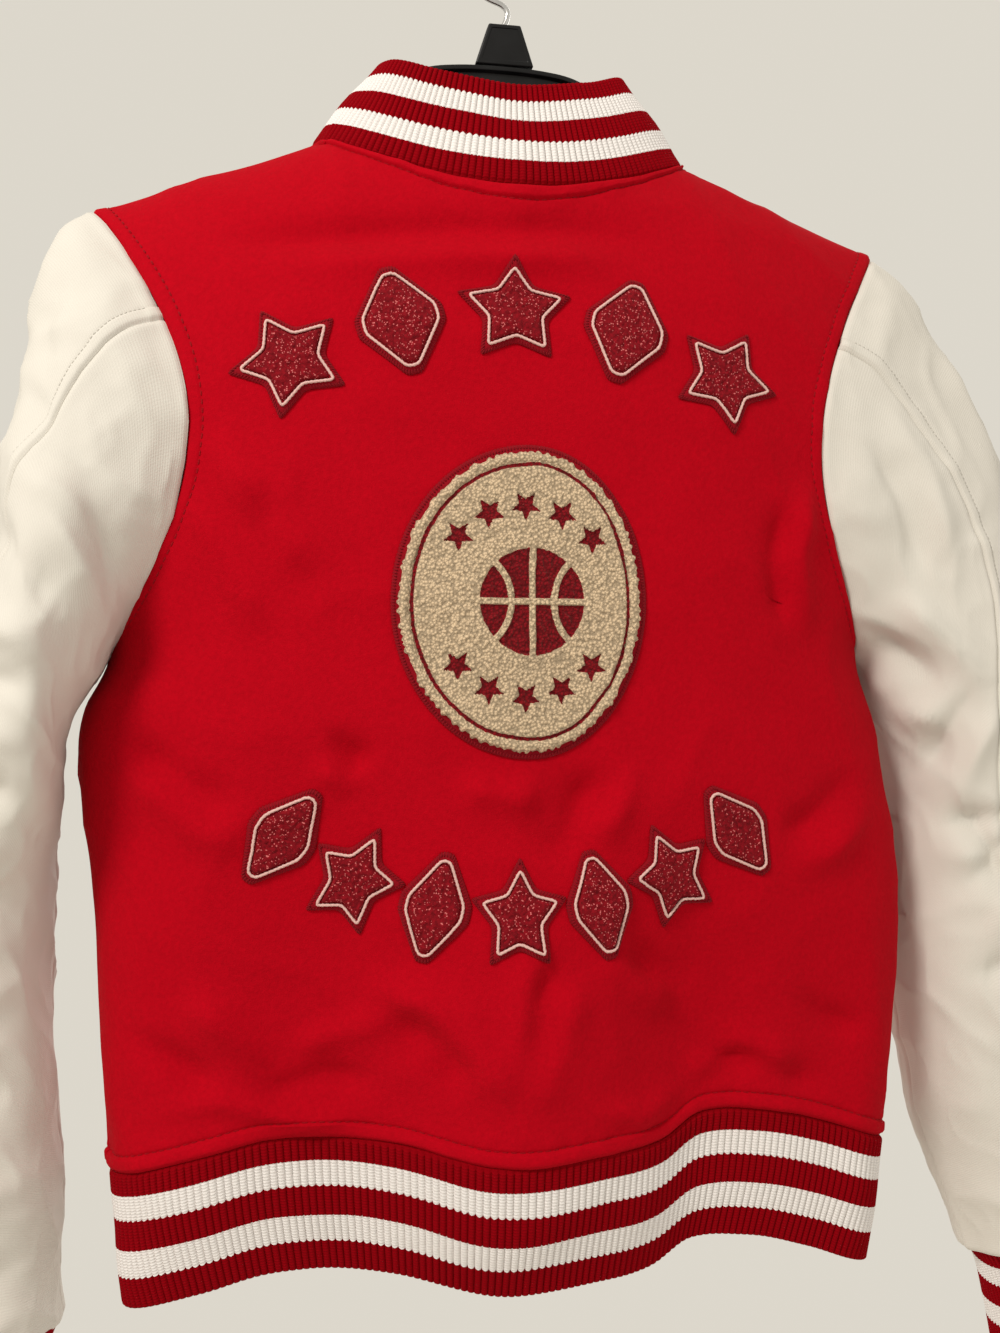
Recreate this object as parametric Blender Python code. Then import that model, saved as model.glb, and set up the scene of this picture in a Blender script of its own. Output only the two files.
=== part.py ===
"""Varsity jacket hanging on a clothes hanger.

Tables and sizes are in millimetres, angles in degrees; the meshes are in metres.
The origin is the hanging point, inside the top of the hook's bend. +Z is up, +Y is the
jacket's front and +X is the wearer's right. Every piece that is cut and sewn on is its own
closed wall. Neighbouring pieces share the points of their seam, so they follow one line,
and each keeps its half of the gap back from it.
"""

import math
from collections import namedtuple

import bmesh
import bpy
from mathutils import Vector
from mathutils.bvhtree import BVHTree

MM = 0.001

# ---------------------------------------------------------------- driving sizes
CLOTH = 1.8            # fleece and sleeve twill, as a wall
RIB_CLOTH = 3.2        # rib knit, folded double
RIB_PROUD = 0.7        # the rib stands this far outside the seam line
HALF_GAP = 0.15        # a cloth piece's half of the gap at a seam
RIB_HALF_GAP = 0.25
LAYER_GAP = 0.4        # between cloth and what lies on it

SHOULDER_TIP_X = 205.0
SHOULDER_TIP_Z = -178.0
NECK_POINT_X = 97.0
NECK_POINT_Z = -139.0
BACK_NECK_DROP = 31.0
FRONT_NECK_DROP = 85.0
UNDERARM_Z = -392.0
ARMHOLE_DIP_BACK = 41.0
ARMHOLE_DIP_FRONT = 46.0
SHOULDER_ROUND = 150.0  # height over which the body fills out below the shoulder seams
SECTION_POWER = 2.4
SHOULDER_POWER = 2.2
FRONT_LAP = 12.0        # each front passes the centre by this much
LAP_FULL = 46.0         # the right front lies over the left one up to here
LAP_RAMP = 46.0         # and comes down to its own level over this width
HEM_RIB_HEIGHT = 66.0

# ---------------------------------------------------------------- tables
Body = namedtuple("Body", "z left right back front")
BODY_SECTIONS = (
    Body(-100.0, 214.0, 214.0, 70.0, 60.0),
    Body(-178.0, 213.0, 213.0, 70.0, 62.0),
    Body(-280.0, 208.0, 206.0, 71.0, 66.0),
    Body(-345.0, 198.0, 197.0, 72.0, 68.0),
    Body(-392.0, 192.0, 190.0, 71.0, 68.0),
    Body(-438.0, 208.0, 202.0, 69.0, 68.0),
    Body(-492.0, 203.0, 211.0, 68.0, 68.0),
    Body(-553.0, 198.0, 214.0, 67.0, 67.0),
    Body(-606.0, 194.0, 208.0, 65.0, 65.0),
    Body(-650.0, 191.0, 203.0, 63.0, 63.0),
)

Hem = namedtuple("Hem", "x back_z front_z")
HEM_LINE = (
    Hem(-191.0, -645.0, -645.0),
    Hem(-155.0, -634.0, -641.0),
    Hem(-115.0, -625.0, -638.0),
    Hem(-60.0, -628.0, -642.0),
    Hem(-12.0, -637.5, -646.0),
    Hem(40.0, -635.5, -646.0),
    Hem(72.0, -633.0, -641.0),
    Hem(95.0, -623.0, -636.0),
    Hem(130.0, -624.0, -637.0),
    Hem(162.0, -632.0, -642.0),
    Hem(203.0, -647.0, -647.0),
)

# a fold runs from its top to its foot; out is its rise, and a negative one is a trough
Fold = namedtuple("Fold", "top_x top_z foot_x foot_z out width at_hem")
BACK_FOLDS = (
    Fold(22.0, -470.0, -6.0, -645.0, 6.0, 40.0, True),
    Fold(76.0, -455.0, 104.0, -640.0, -21.0, 44.0, True),
    Fold(-104.0, -400.0, -86.0, -640.0, -17.0, 50.0, True),
    Fold(150.0, -470.0, 160.0, -640.0, -8.0, 28.0, True),
    Fold(-90.0, -212.0, 96.0, -214.0, -4.0, 26.0, False),
)
FRONT_FOLDS = (
    Fold(-70.0, -430.0, -62.0, -640.0, -12.0, 44.0, True),
    Fold(96.0, -420.0, 84.0, -640.0, -14.0, 40.0, True),
    Fold(-150.0, -520.0, -146.0, -640.0, -7.0, 26.0, True),
)

# top is the sleeve's outer edge, under its inner one; lean turns the section in plan
Sleeve = namedtuple("Sleeve", "top_x top_z under_x under_z mid_y back front lean seam blend")
SLEEVE_LEFT = (
    Sleeve(205.0, -178.0, 192.0, -392.0, 0.0, 52.0, 50.0, 0.0, 65.0, 0.0),
    Sleeve(218.0, -190.0, 195.5, -398.0, -6.0, 60.0, 50.0, 4.0, 63.0, 0.25),
    Sleeve(230.0, -219.0, 199.5, -406.0, -8.0, 66.0, 54.0, 10.0, 58.0, 0.50),
    Sleeve(236.0, -258.0, 206.0, -416.0, -10.0, 70.0, 56.0, 14.0, 51.0, 0.75),
    Sleeve(242.0, -302.0, 212.0, -427.0, -10.0, 72.0, 58.0, 16.0, 45.0, 1.0),
    Sleeve(251.0, -355.0, 216.0, -441.0, -8.0, 72.0, 58.0, 16.0, 42.0, 1.0),
    Sleeve(266.0, -410.0, 218.5, -460.0, -4.0, 68.0, 60.0, 14.0, 42.0, 1.0),
    Sleeve(286.0, -462.0, 220.5, -486.0, 4.0, 58.0, 62.0, 8.0, 43.0, 1.0),
    Sleeve(300.0, -512.0, 221.5, -520.0, 10.0, 50.0, 60.0, 2.0, 45.0, 1.0),
    Sleeve(306.0, -566.0, 222.0, -566.0, 12.0, 48.0, 56.0, 0.0, 46.0, 1.0),
    Sleeve(305.0, -622.0, 220.0, -618.0, 12.0, 46.0, 52.0, 0.0, 48.0, 1.0),
    Sleeve(300.0, -678.0, 217.5, -672.0, 11.0, 44.0, 48.0, 0.0, 50.0, 1.0),
    Sleeve(293.0, -726.0, 216.0, -720.0, 10.0, 41.0, 43.0, 0.0, 50.0, 1.0),
)
SLEEVE_RIGHT = (
    Sleeve(205.0, -178.0, 190.0, -392.0, 0.0, 52.0, 50.0, 0.0, 65.0, 0.0),
    Sleeve(224.0, -193.0, 194.0, -397.0, 0.0, 55.0, 52.0, 2.0, 66.0, 0.25),
    Sleeve(244.0, -226.0, 200.0, -405.0, 4.0, 58.0, 56.0, 3.0, 70.0, 0.50),
    Sleeve(264.0, -260.0, 206.5, -416.0, 8.0, 60.0, 58.0, 4.0, 76.0, 0.75),
    Sleeve(281.0, -303.0, 212.0, -430.0, 12.0, 62.0, 58.0, 4.0, 84.0, 1.0),
    Sleeve(297.0, -350.0, 216.0, -449.0, 16.0, 64.0, 58.0, 4.0, 92.0, 1.0),
    Sleeve(309.0, -400.0, 219.0, -474.0, 20.0, 64.0, 56.0, 2.0, 98.0, 1.0),
    Sleeve(319.0, -452.0, 221.0, -508.0, 22.0, 62.0, 54.0, 0.0, 100.0, 1.0),
    Sleeve(328.0, -506.0, 223.0, -548.0, 22.0, 58.0, 52.0, 0.0, 100.0, 1.0),
    Sleeve(337.0, -560.0, 229.0, -594.0, 22.0, 54.0, 50.0, 0.0, 100.0, 1.0),
    Sleeve(346.0, -612.0, 240.0, -642.0, 21.0, 50.0, 48.0, 0.0, 100.0, 1.0),
    Sleeve(353.0, -660.0, 256.0, -687.0, 20.0, 46.0, 45.0, 0.0, 100.0, 1.0),
    Sleeve(358.0, -698.0, 269.0, -720.0, 20.0, 42.0, 42.0, 0.0, 100.0, 1.0),
)

# the hem rib draws in as it goes down from the seam
Rib = namedtuple("Rib", "down wide deep")
HEM_RIB = (Rib(0.0, 1.0, 1.0), Rib(0.5, 0.985, 0.90), Rib(1.0, 0.962, 0.70))

Cuff = namedtuple("Cuff", "drop_x drop_z squeeze")
CUFF_LEFT = (Cuff(0.0, -4.0, 0.86), Cuff(0.0, -30.0, 0.80), Cuff(1.0, -64.0, 0.84))
CUFF_RIGHT = (Cuff(0.8, -3.9, 0.86), Cuff(7.0, -29.0, 0.80), Cuff(15.0, -62.0, 0.84))

# the collar's upper edge, by the angle round the neck: 0 is the front centre
Collar = namedtuple("Collar", "turn x y z")
COLLAR_TOP = (
    Collar(0.0, 1.0, 52.0, -168.0),
    Collar(40.0, 33.0, 44.0, -142.0),
    Collar(80.0, 61.0, 10.0, -98.0),
    Collar(110.0, 59.0, -22.0, -98.0),
    Collar(145.0, 36.0, -42.0, -109.6),
    Collar(180.0, 0.0, -48.0, -116.2),
    Collar(215.0, -36.0, -42.0, -109.6),
)

# stations round an armhole: 0 is the shoulder tip, 180 the underarm, and past it the front
BACK_SEAM_TURN = 65.0
ARM_TOP_BACK = (0.0, 22.0, 44.0, 65.0)
ARM_UNDER = (65.0, 82.0, 99.0, 116.0, 133.0, 148.0, 163.0, 180.0)
ARM_FRONT = (180.0, 197.0, 212.0, 229.0, 248.0, 268.0, 290.0, 313.0, 337.0, 360.0)

SHOULDER_TURNS = (90.0, 79.0, 68.0, 57.0, 46.0, 35.0, 24.0)
NECK_TURNS = (24.0, 18.0, 12.0, 6.0)
SIDE_ROWS = 9           # rows of facets from the underarm to the hem

# each arc of patches: the place of its middle one, its radius (below the middle one if positive),
# the turn from one to the next, and the shapes from the left to the right
Arc = namedtuple("Arc", "name middle_x middle_z radius step shapes")
ARCS = (
    Arc("upper", -5.0, -234.5, 218.0, 14.5, ("star", "lozenge", "star", "lozenge", "star")),
    Arc("lower", -3.0, -520.5, -178.0, 12.7,
        ("lozenge", "star", "lozenge", "star", "lozenge", "star", "lozenge")),
)
PATCH_HEIGHT = 53.0
STAR_WIDTH = {"upper": 56.0, "lower": 46.0}
LOZENGE_WIDTH = {"upper": 42.0, "lower": 33.0}
PATCH_FELT = 1.3
PATCH_PILE = 2.6
PATCH_MARGIN = 3.2      # felt that shows round the pile

# the round badge: a circle on its left, flattened on its right
BADGE_X = 2.0
BADGE_Z = -373.0
BADGE_LEFT = 66.0
BADGE_RIGHT = 56.0
BADGE_TALL = 74.0
BADGE_POINTS = 36

CUTTER_NEAR = -120.0    # the prisms that cut the patches reach from here to there along Y
CUTTER_FAR = -5.0

SNAP_RADIUS = 7.5
SNAP_HEIGHT = 3.0
SNAP_HEIGHTS = (-250.0, -326.0, -402.0, -478.0, -554.0, -618.0)

HANGER_WEB = 3.0
HANGER_FLANGE = 8.0
HANGER_FLANGE_THICK = 2.4
HANGER_DEPTH = 13.0
HANGER_BELOW_SEAM = 5.4  # flange under the shoulder seam line
Bar = namedtuple("Bar", "x z")
HANGER_MIDDLE = (Bar(0.0, -88.0), Bar(22.0, -88.8), Bar(40.0, -92.0), Bar(56.0, -101.0), Bar(71.0, -117.0),
                 Bar(83.0, -136.5), Bar(95.0, -149.5))
HANGER_ARM_XS = (115.0, 135.0, 155.0, 175.0, 192.0)

BLOCK_TOP_HALF = 8.4
BLOCK_LOW_HALF = 15.4
BLOCK_X = 2.4
BLOCK_TOP_Z = -65.8
BLOCK_LOW_Z = -87.4
BLOCK_THICK = 9.0
BLOCK_BEVEL = 0.8

WIRE_RADIUS = 1.5
HOOK_RADIUS = 21.5
HOOK_ARC_END = -18.0    # the free end stops this far past the level of the bend's centre
Route = namedtuple("Route", "x z")
HOOK_ROUTE = (Route(2.6, -65.2), Route(4.2, -61.0), Route(4.4, -57.0), Route(1.4, -53.8), Route(-7.0, -50.4),
              Route(-13.5, -44.5), Route(-18.6, -36.0), Route(-21.0, -28.0))


# ---------------------------------------------------------------- small mathematics
def smooth(value):
    """Ease from 0 to 1."""
    value = min(max(value, 0.0), 1.0)
    return value * value * (3.0 - 2.0 * value)


def read(table, key, at, column):
    """Read one column of a table at a key, on a smooth curve through its rows."""
    rows = sorted(table, key=lambda row: getattr(row, key))
    keys = [getattr(row, key) for row in rows]
    values = [getattr(row, column) for row in rows]
    if at <= keys[0]:
        return values[0]
    if at >= keys[-1]:
        return values[-1]
    i = max(k for k in range(len(keys) - 1) if keys[k] <= at)
    span = keys[i + 1] - keys[i]
    f = (at - keys[i]) / span

    def slope(k):
        low = max(k - 1, 0)
        high = min(k + 1, len(keys) - 1)
        return (values[high] - values[low]) / (keys[high] - keys[low])

    start = slope(i) * span
    end = slope(i + 1) * span
    return ((2 * f**3 - 3 * f**2 + 1) * values[i] + (f**3 - 2 * f**2 + f) * start
            + (3 * f**2 - 2 * f**3) * values[i + 1] + (f**3 - f**2) * end)


def power_sin(turn, power):
    """Sine of an angle in degrees, raised to 2 / power with its sign kept."""
    value = math.sin(math.radians(turn))
    return math.copysign(abs(value) ** (2.0 / power), value)


def shoulder_line(x):
    """Height of the shoulder seam, carried on across the neck."""
    slope = (NECK_POINT_Z - SHOULDER_TIP_Z) / (SHOULDER_TIP_X - NECK_POINT_X)
    return NECK_POINT_Z - (abs(x) - NECK_POINT_X) * slope


# ---------------------------------------------------------------- the body's form
def fold_rise(folds, x, z):
    """Sum of the folds' rise at a place on the panel."""
    total = 0.0
    for fold in folds:
        run_x = fold.foot_x - fold.top_x
        run_z = fold.foot_z - fold.top_z
        length = math.hypot(run_x, run_z)
        along = ((x - fold.top_x) * run_x + (z - fold.top_z) * run_z) / length**2
        aside = ((x - fold.top_x) * run_z - (z - fold.top_z) * run_x) / length
        taper = smooth(along / 0.75) if fold.at_hem else smooth(along / 0.4) * smooth((1.0 - along) / 0.4)
        total += fold.out * taper * math.exp(-(aside / fold.width) ** 2)
    return total


def body_y(face, x, z):
    """Depth of the body's cloth; face is -1 for the back and 1 for the front."""
    left = read(BODY_SECTIONS, "z", z, "left")
    right = read(BODY_SECTIONS, "z", z, "right")
    depth = read(BODY_SECTIONS, "z", z, "back" if face < 0 else "front")
    across = min(abs((x - (right - left) / 2.0) / ((right + left) / 2.0)), 1.0)
    below = min(max((shoulder_line(x) - z) / SHOULDER_ROUND, 0.0), 1.0)
    section = (1.0 - across**SECTION_POWER) ** (1.0 / SECTION_POWER)
    rounding = (1.0 - (1.0 - below) ** SHOULDER_POWER) ** (1.0 / SHOULDER_POWER)
    folds = BACK_FOLDS if face < 0 else FRONT_FOLDS
    window = smooth((1.0 - across) / 0.2)
    return face * (depth * section * rounding + fold_rise(folds, x, z) * window)


def armhole(side, turn):
    """A point of the armhole seam; side is -1 for the wearer's left."""
    face = -1.0 if turn <= 180.0 else 1.0
    dip = ARMHOLE_DIP_BACK if face < 0 else ARMHOLE_DIP_FRONT
    down = (1.0 - math.cos(math.radians(turn))) / 2.0
    z = SHOULDER_TIP_Z + (UNDERARM_Z - SHOULDER_TIP_Z) * down
    under_x = read(BODY_SECTIONS, "z", UNDERARM_Z, "left" if side < 0 else "right")
    x = SHOULDER_TIP_X + (under_x - SHOULDER_TIP_X) * down
    x -= dip * abs(math.sin(math.pi * down)) ** 0.95
    return Vector((side * x, body_y(face, side * x, z), z))


def neckline(face, x):
    drop = BACK_NECK_DROP if face < 0 else FRONT_NECK_DROP
    reach = min(abs(x) / NECK_POINT_X, 1.0)
    sag = 1.0 - reach**2 if face < 0 else (1.0 - reach**2.2) ** 0.7
    z = NECK_POINT_Z - drop * sag
    return Vector((x, body_y(face, x, z), z))


def hem_point(face, x):
    z = read(HEM_LINE, "x", x, "back_z" if face < 0 else "front_z")
    return Vector((x, body_y(face, x, z), z))


def side_edge(side, face):
    """Armhole, then side seam, from the shoulder tip down to the hem."""
    stations = ARM_TOP_BACK + ARM_UNDER[1:] if face < 0 else tuple(reversed(ARM_FRONT))
    points = [armhole(side, turn) for turn in stations]
    column = "left" if side < 0 else "right"
    foot = hem_point(face, side * read(BODY_SECTIONS, "z", -646.0, column))
    for row in range(1, SIDE_ROWS + 1):
        z = UNDERARM_Z + (foot.z - UNDERARM_Z) * row / SIDE_ROWS
        points.append(Vector((side * read(BODY_SECTIONS, "z", z, column), 0.0, z)))
    return points


def columns(face):
    """Turns of the panel's columns across, from the wearer's left to the right."""
    half = SHOULDER_TURNS + NECK_TURNS[1:]
    return [-turn for turn in half] + [0.0] + [turn for turn in reversed(half)]


def top_point(face, turn):
    """The panel's upper edge: shoulder seams and neckline."""
    side = -1.0 if turn < 0 else 1.0
    if abs(turn) >= NECK_TURNS[0]:
        start = abs(power_sin(NECK_TURNS[0], SECTION_POWER))
        along = (abs(power_sin(turn, SECTION_POWER)) - start) / (1.0 - start)
        x = NECK_POINT_X + (SHOULDER_TIP_X - NECK_POINT_X) * along
        return Vector((side * x, 0.0, shoulder_line(x)))
    reach = power_sin(turn, SECTION_POWER) / power_sin(NECK_TURNS[0], SECTION_POWER)
    return neckline(face, NECK_POINT_X * reach)


def body_grid(face):
    """All points of the back (face -1) or of both fronts (face 1), edge to edge."""
    left = side_edge(-1, face)
    right = side_edge(1, face)
    turns = columns(face)
    last = len(left) - 1
    grid = []
    for r in range(last + 1):
        down = (left[0].z - (left[r].z + right[r].z) / 2) / (left[0].z - (left[last].z + right[last].z) / 2)
        row = []
        for c, turn in enumerate(turns):
            across = (power_sin(turn, SECTION_POWER) + 1.0) / 2.0
            top = top_point(face, turn)
            low = hem_point(face, left[last].x + (right[last].x - left[last].x) * across)
            point = top * (1 - down) + low * down + left[r] * (1 - across) + right[r] * across
            point -= (left[0] * (1 - across) + right[0] * across) * (1 - down)
            point -= (left[last] * (1 - across) + right[last] * across) * down
            if r == 0:
                point = top
            elif c == 0:
                point = left[r].copy()
            elif c == len(turns) - 1:
                point = right[r].copy()
            else:
                point.y = body_y(face, point.x, point.z)
            row.append(point)
        grid.append(row)
    return grid


def front_grids(grid):
    """Split the front at its centre into a left front below and a right front above."""
    middle = len(grid[0]) // 2
    left_rows = []
    right_rows = []
    for row in grid:
        lap = [Vector((side * FRONT_LAP, body_y(1, side * FRONT_LAP, row[middle].z), row[middle].z))
               for side in (-1, 1)]
        left_rows.append([point.copy() for point in row[:middle + 1]] + [lap[1]])
        right_rows.append([lap[0]] + [point.copy() for point in row[middle:]])
    for row in right_rows:
        for point in row:
            point.y += lap_rise(point.x)
    return left_rows, right_rows


def lap_rise(x):
    """How far the right front's cloth stands out, to clear the left front and its rib."""
    return (RIB_CLOTH + LAYER_GAP) * smooth((LAP_FULL + LAP_RAMP - x) / LAP_RAMP)


# ---------------------------------------------------------------- sleeves
def sleeve_point(table, side, ring, turn):
    """One point of a sleeve: turn is the armhole station, which the back seam's column shifts."""
    row = table[ring]
    first = table[0]
    seam = row.seam
    if turn <= BACK_SEAM_TURN:
        angle = turn * seam / BACK_SEAM_TURN
    elif turn <= 180.0:
        angle = seam + (turn - BACK_SEAM_TURN) * (180.0 - seam) / (180.0 - BACK_SEAM_TURN)
    else:
        angle = turn
    start = armhole(side, turn)
    share = (1.0 + math.cos(math.radians(turn))) / 2.0
    moved = Vector((side * ((row.top_x - first.top_x) * share + (row.under_x - first.under_x) * (1.0 - share)),
                    row.mid_y,
                    (row.top_z - first.top_z) * share + (row.under_z - first.under_z) * (1.0 - share)))
    top = Vector((side * row.top_x, row.mid_y, row.top_z))
    under = Vector((side * row.under_x, row.mid_y, row.under_z))
    centre = (top + under) / 2.0
    outward = (top - under) / 2.0
    deep = power_sin(angle, SHOULDER_POWER)
    wide = power_sin(90.0 + angle, SHOULDER_POWER)
    depth = row.back if deep > 0 else row.front
    tube = centre + outward * wide - outward.normalized() * (row.lean * deep) + Vector((0, -depth * deep, 0))
    return (start + moved) * (1.0 - row.blend) + tube * row.blend


def sleeve_grids(table, side):
    """Rows run down the sleeve; the top piece goes from the underarm over the front to the seam."""
    under = [[sleeve_point(table, side, ring, turn) for turn in ARM_UNDER] for ring in range(len(table))]
    turns = ARM_FRONT + tuple(360.0 + turn for turn in ARM_TOP_BACK[1:])
    top = []
    for ring in range(len(table)):
        top.append([sleeve_point(table, side, ring, turn if turn < 360.0 else turn - 360.0) for turn in turns])
    return top, under


# ---------------------------------------------------------------- rib pieces
def hem_grid(back, left_front, right_front):
    """The hem rib: from the left front's edge round the back to the right front's edge."""
    right_seam = list(reversed(right_front[-1]))
    seam = list(reversed(left_front[-1])) + back[-1][1:-1] + right_seam
    rows = []
    for step in HEM_RIB:
        row = []
        for i, point in enumerate(seam):
            lap = lap_rise(point.x) if i >= len(seam) - len(right_seam) else 0.0
            row.append(Vector((point.x * step.wide, (point.y - lap) * step.deep + lap,
                               point.z - HEM_RIB_HEIGHT * step.down)))
        rows.append(row)
    return rows


def collar_grid(back, left_front, right_front):
    """The collar: from the front centre round the back to the front centre, seam to upper edge."""
    middle = len(back[0]) // 2
    neck = len(NECK_TURNS)
    left = [point.copy() for point in left_front[0][middle - neck:middle + 1]]
    right = [point.copy() for point in right_front[0][1:neck + 2]]
    seam = list(reversed(left)) + back[0][middle - neck + 1:middle + neck] + list(reversed(right))
    rows = [seam, [], []]
    half = (len(seam) - 1) / 2.0
    for i, point in enumerate(seam):
        turn = 180.0 * (1.0 - abs(i - half) / half)
        side = -1.0 if i < half else 1.0
        edge = Vector((side * read(COLLAR_TOP, "turn", turn, "x"), read(COLLAR_TOP, "turn", turn, "y"),
                       read(COLLAR_TOP, "turn", turn, "z")))
        if i > half:
            edge.y += lap_rise(edge.x) * smooth((90.0 - turn) / 60.0)
        middle_point = point.lerp(edge, 0.5) + Vector((point.x, point.y, 0.0)).normalized() * 1.5
        rows[1].append(middle_point)
        rows[2].append(edge)
    return rows


def cuff_grid(table, top, under, side):
    """The cuff rib: a closed ring that starts and ends at the underarm seam."""
    seam = top[-1][:-1] + under[-1][:-1]
    centre = sum(seam, Vector()) / len(seam)
    rows = [seam]
    for step in table:
        shift = Vector((side * step.drop_x, 0.0, step.drop_z))
        rows.append([centre + (point - centre) * step.squeeze + shift for point in seam])
    return rows


# ---------------------------------------------------------------- walls
Piece = namedtuple("Piece", "name rows closed wall proud half_gap flip material")


def cell_normals(piece):
    """Average normal at each point of a piece's grid, pointing out of the garment."""
    rows = piece.rows
    high = len(rows)
    wide = len(rows[0])
    normals = [[Vector() for _ in range(wide)] for _ in range(high)]
    for r in range(high - 1):
        for c in range(wide if piece.closed else wide - 1):
            d = (c + 1) % wide
            a, b, e, f = rows[r][c], rows[r][d], rows[r + 1][d], rows[r + 1][c]
            normal = (e - a).cross(f - b)
            if piece.flip:
                normal.negate()
            for i, j in ((r, c), (r, d), (r + 1, d), (r + 1, c)):
                normals[i][j] += normal.normalized()
    return normals


def place(point):
    return (round(point.x, 2), round(point.y, 2), round(point.z, 2))


def shared_normals(pieces):
    """Where pieces share a seam point they also share its normal."""
    own = {piece.name: cell_normals(piece) for piece in pieces}
    sums = {}
    for piece in pieces:
        for r, row in enumerate(piece.rows):
            for c, point in enumerate(row):
                sums[place(point)] = sums.get(place(point), Vector()) + own[piece.name][r][c].normalized()
    return {piece.name: [[sums[place(point)].normalized() for point in row] for row in piece.rows]
            for piece in pieces}


def seam_pull(piece, normals, r, c):
    """The piece's half of the seam gap, away from each edge that the point lies on."""
    rows = piece.rows
    high = len(rows)
    wide = len(rows[0])
    pull = Vector()
    if r in (0, high - 1):
        if piece.closed:
            tangent = rows[r][(c + 1) % wide] - rows[r][c - 1]
        else:
            tangent = rows[r][min(c + 1, wide - 1)] - rows[r][max(c - 1, 0)]
        inward = rows[1][c] - rows[0][c] if r == 0 else rows[-2][c] - rows[-1][c]
        pull += away(tangent, normals[r][c], inward)
    if not piece.closed and c in (0, wide - 1):
        tangent = rows[min(r + 1, high - 1)][c] - rows[max(r - 1, 0)][c]
        inward = rows[r][1] - rows[r][0] if c == 0 else rows[r][-2] - rows[r][-1]
        pull += away(tangent, normals[r][c], inward)
    return pull * piece.half_gap


def away(tangent, normal, inward):
    step = tangent.cross(normal).normalized()
    return step if step.dot(inward) > 0 else -step


def wall_mesh(piece, normals):
    """A closed wall: outer skin, inner skin and the edges between them."""
    bm = bmesh.new()
    high = len(piece.rows)
    wide = len(piece.rows[0])
    outer = []
    inner = []
    for r in range(high):
        outer.append([])
        inner.append([])
        for c in range(wide):
            point = piece.rows[r][c] + seam_pull(piece, normals, r, c)
            out = normals[r][c]
            outer[-1].append(bm.verts.new((point + out * piece.proud) * MM))
            inner[-1].append(bm.verts.new((point + out * (piece.proud - piece.wall)) * MM))
    around = range(wide if piece.closed else wide - 1)
    for r in range(high - 1):
        for c in around:
            d = (c + 1) % wide
            bm.faces.new((outer[r][c], outer[r][d], outer[r + 1][d], outer[r + 1][c]))
            bm.faces.new((inner[r][c], inner[r + 1][c], inner[r + 1][d], inner[r][d]))
    for c in around:
        d = (c + 1) % wide
        bm.faces.new((outer[0][c], inner[0][c], inner[0][d], outer[0][d]))
        bm.faces.new((outer[-1][c], outer[-1][d], inner[-1][d], inner[-1][c]))
    if not piece.closed:
        for r in range(high - 1):
            bm.faces.new((outer[r][0], outer[r + 1][0], inner[r + 1][0], inner[r][0]))
            bm.faces.new((outer[r][-1], inner[r][-1], inner[r + 1][-1], outer[r + 1][-1]))
    bmesh.ops.triangulate(bm, faces=bm.faces[:], quad_method="FIXED")
    bmesh.ops.recalc_face_normals(bm, faces=bm.faces[:])
    return bm


# ---------------------------------------------------------------- objects and materials
def material(name, colour, roughness, metallic=0.0):
    made = bpy.data.materials.new(name)
    made.use_nodes = True
    shader = made.node_tree.nodes["Principled BSDF"]
    shader.inputs["Base Color"].default_value = (*colour, 1.0)
    shader.inputs["Roughness"].default_value = roughness
    shader.inputs["Metallic"].default_value = metallic
    return made


def add_object(name, bm, surface):
    mesh = bpy.data.meshes.new(name)
    bm.to_mesh(mesh)
    bm.free()
    made = bpy.data.objects.new(name, mesh)
    made.data.materials.append(surface)
    bpy.context.collection.objects.link(made)
    return made


# ---------------------------------------------------------------- patches
def star_outline(width, inset):
    """Five points; inset moves every side inwards."""
    height = PATCH_HEIGHT
    shrink = inset * 1.9
    points = []
    for i in range(10):
        turn = math.radians(90.0 + 36.0 * i)
        reach = 1.0 if i % 2 == 0 else 0.56
        points.append((math.cos(turn) * reach * (width / 2.0 - shrink) * 1.04,
                       math.sin(turn) * reach * (height / 2.0 - shrink) * 1.04))
    return points


def lozenge_outline(width, inset):
    """A long diamond with blunt corners."""
    shrink = inset * 1.35
    wide = width / 2.0 - shrink
    tall = PATCH_HEIGHT / 2.0 - shrink
    corner = 0.16
    return [(wide, -corner * tall), (wide, corner * tall), (corner * wide, tall), (-corner * wide, tall),
            (-wide, corner * tall), (-wide, -corner * tall), (-corner * wide, -tall), (corner * wide, -tall)]


def badge_outline(inset):
    points = []
    for i in range(BADGE_POINTS):
        turn = math.tau * i / BADGE_POINTS
        wide = (BADGE_RIGHT if math.cos(turn) > 0 else BADGE_LEFT) - inset
        points.append((math.cos(turn) * wide, math.sin(turn) * (BADGE_TALL - inset)))
    return points


def skin_near(skin, centre_x, centre_z, reach):
    """The part of a panel's rows and normals that lies within reach of a place."""
    rows, normals = skin
    near = []
    for r in range(len(rows) - 1):
        for c in range(len(rows[0]) - 1):
            corners = (rows[r][c], rows[r][c + 1], rows[r + 1][c + 1], rows[r + 1][c])
            xs = [point.x for point in corners]
            zs = [point.z for point in corners]
            if (min(xs) < centre_x + reach and max(xs) > centre_x - reach
                    and min(zs) < centre_z + reach and max(zs) > centre_z - reach):
                near.append((r, c))
    rows_near = slice(min(r for r, _ in near), max(r for r, _ in near) + 2)
    columns_near = slice(min(c for _, c in near), max(c for _, c in near) + 2)
    return ([row[columns_near] for row in rows[rows_near]],
            [row[columns_near] for row in normals[rows_near]])


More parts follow.
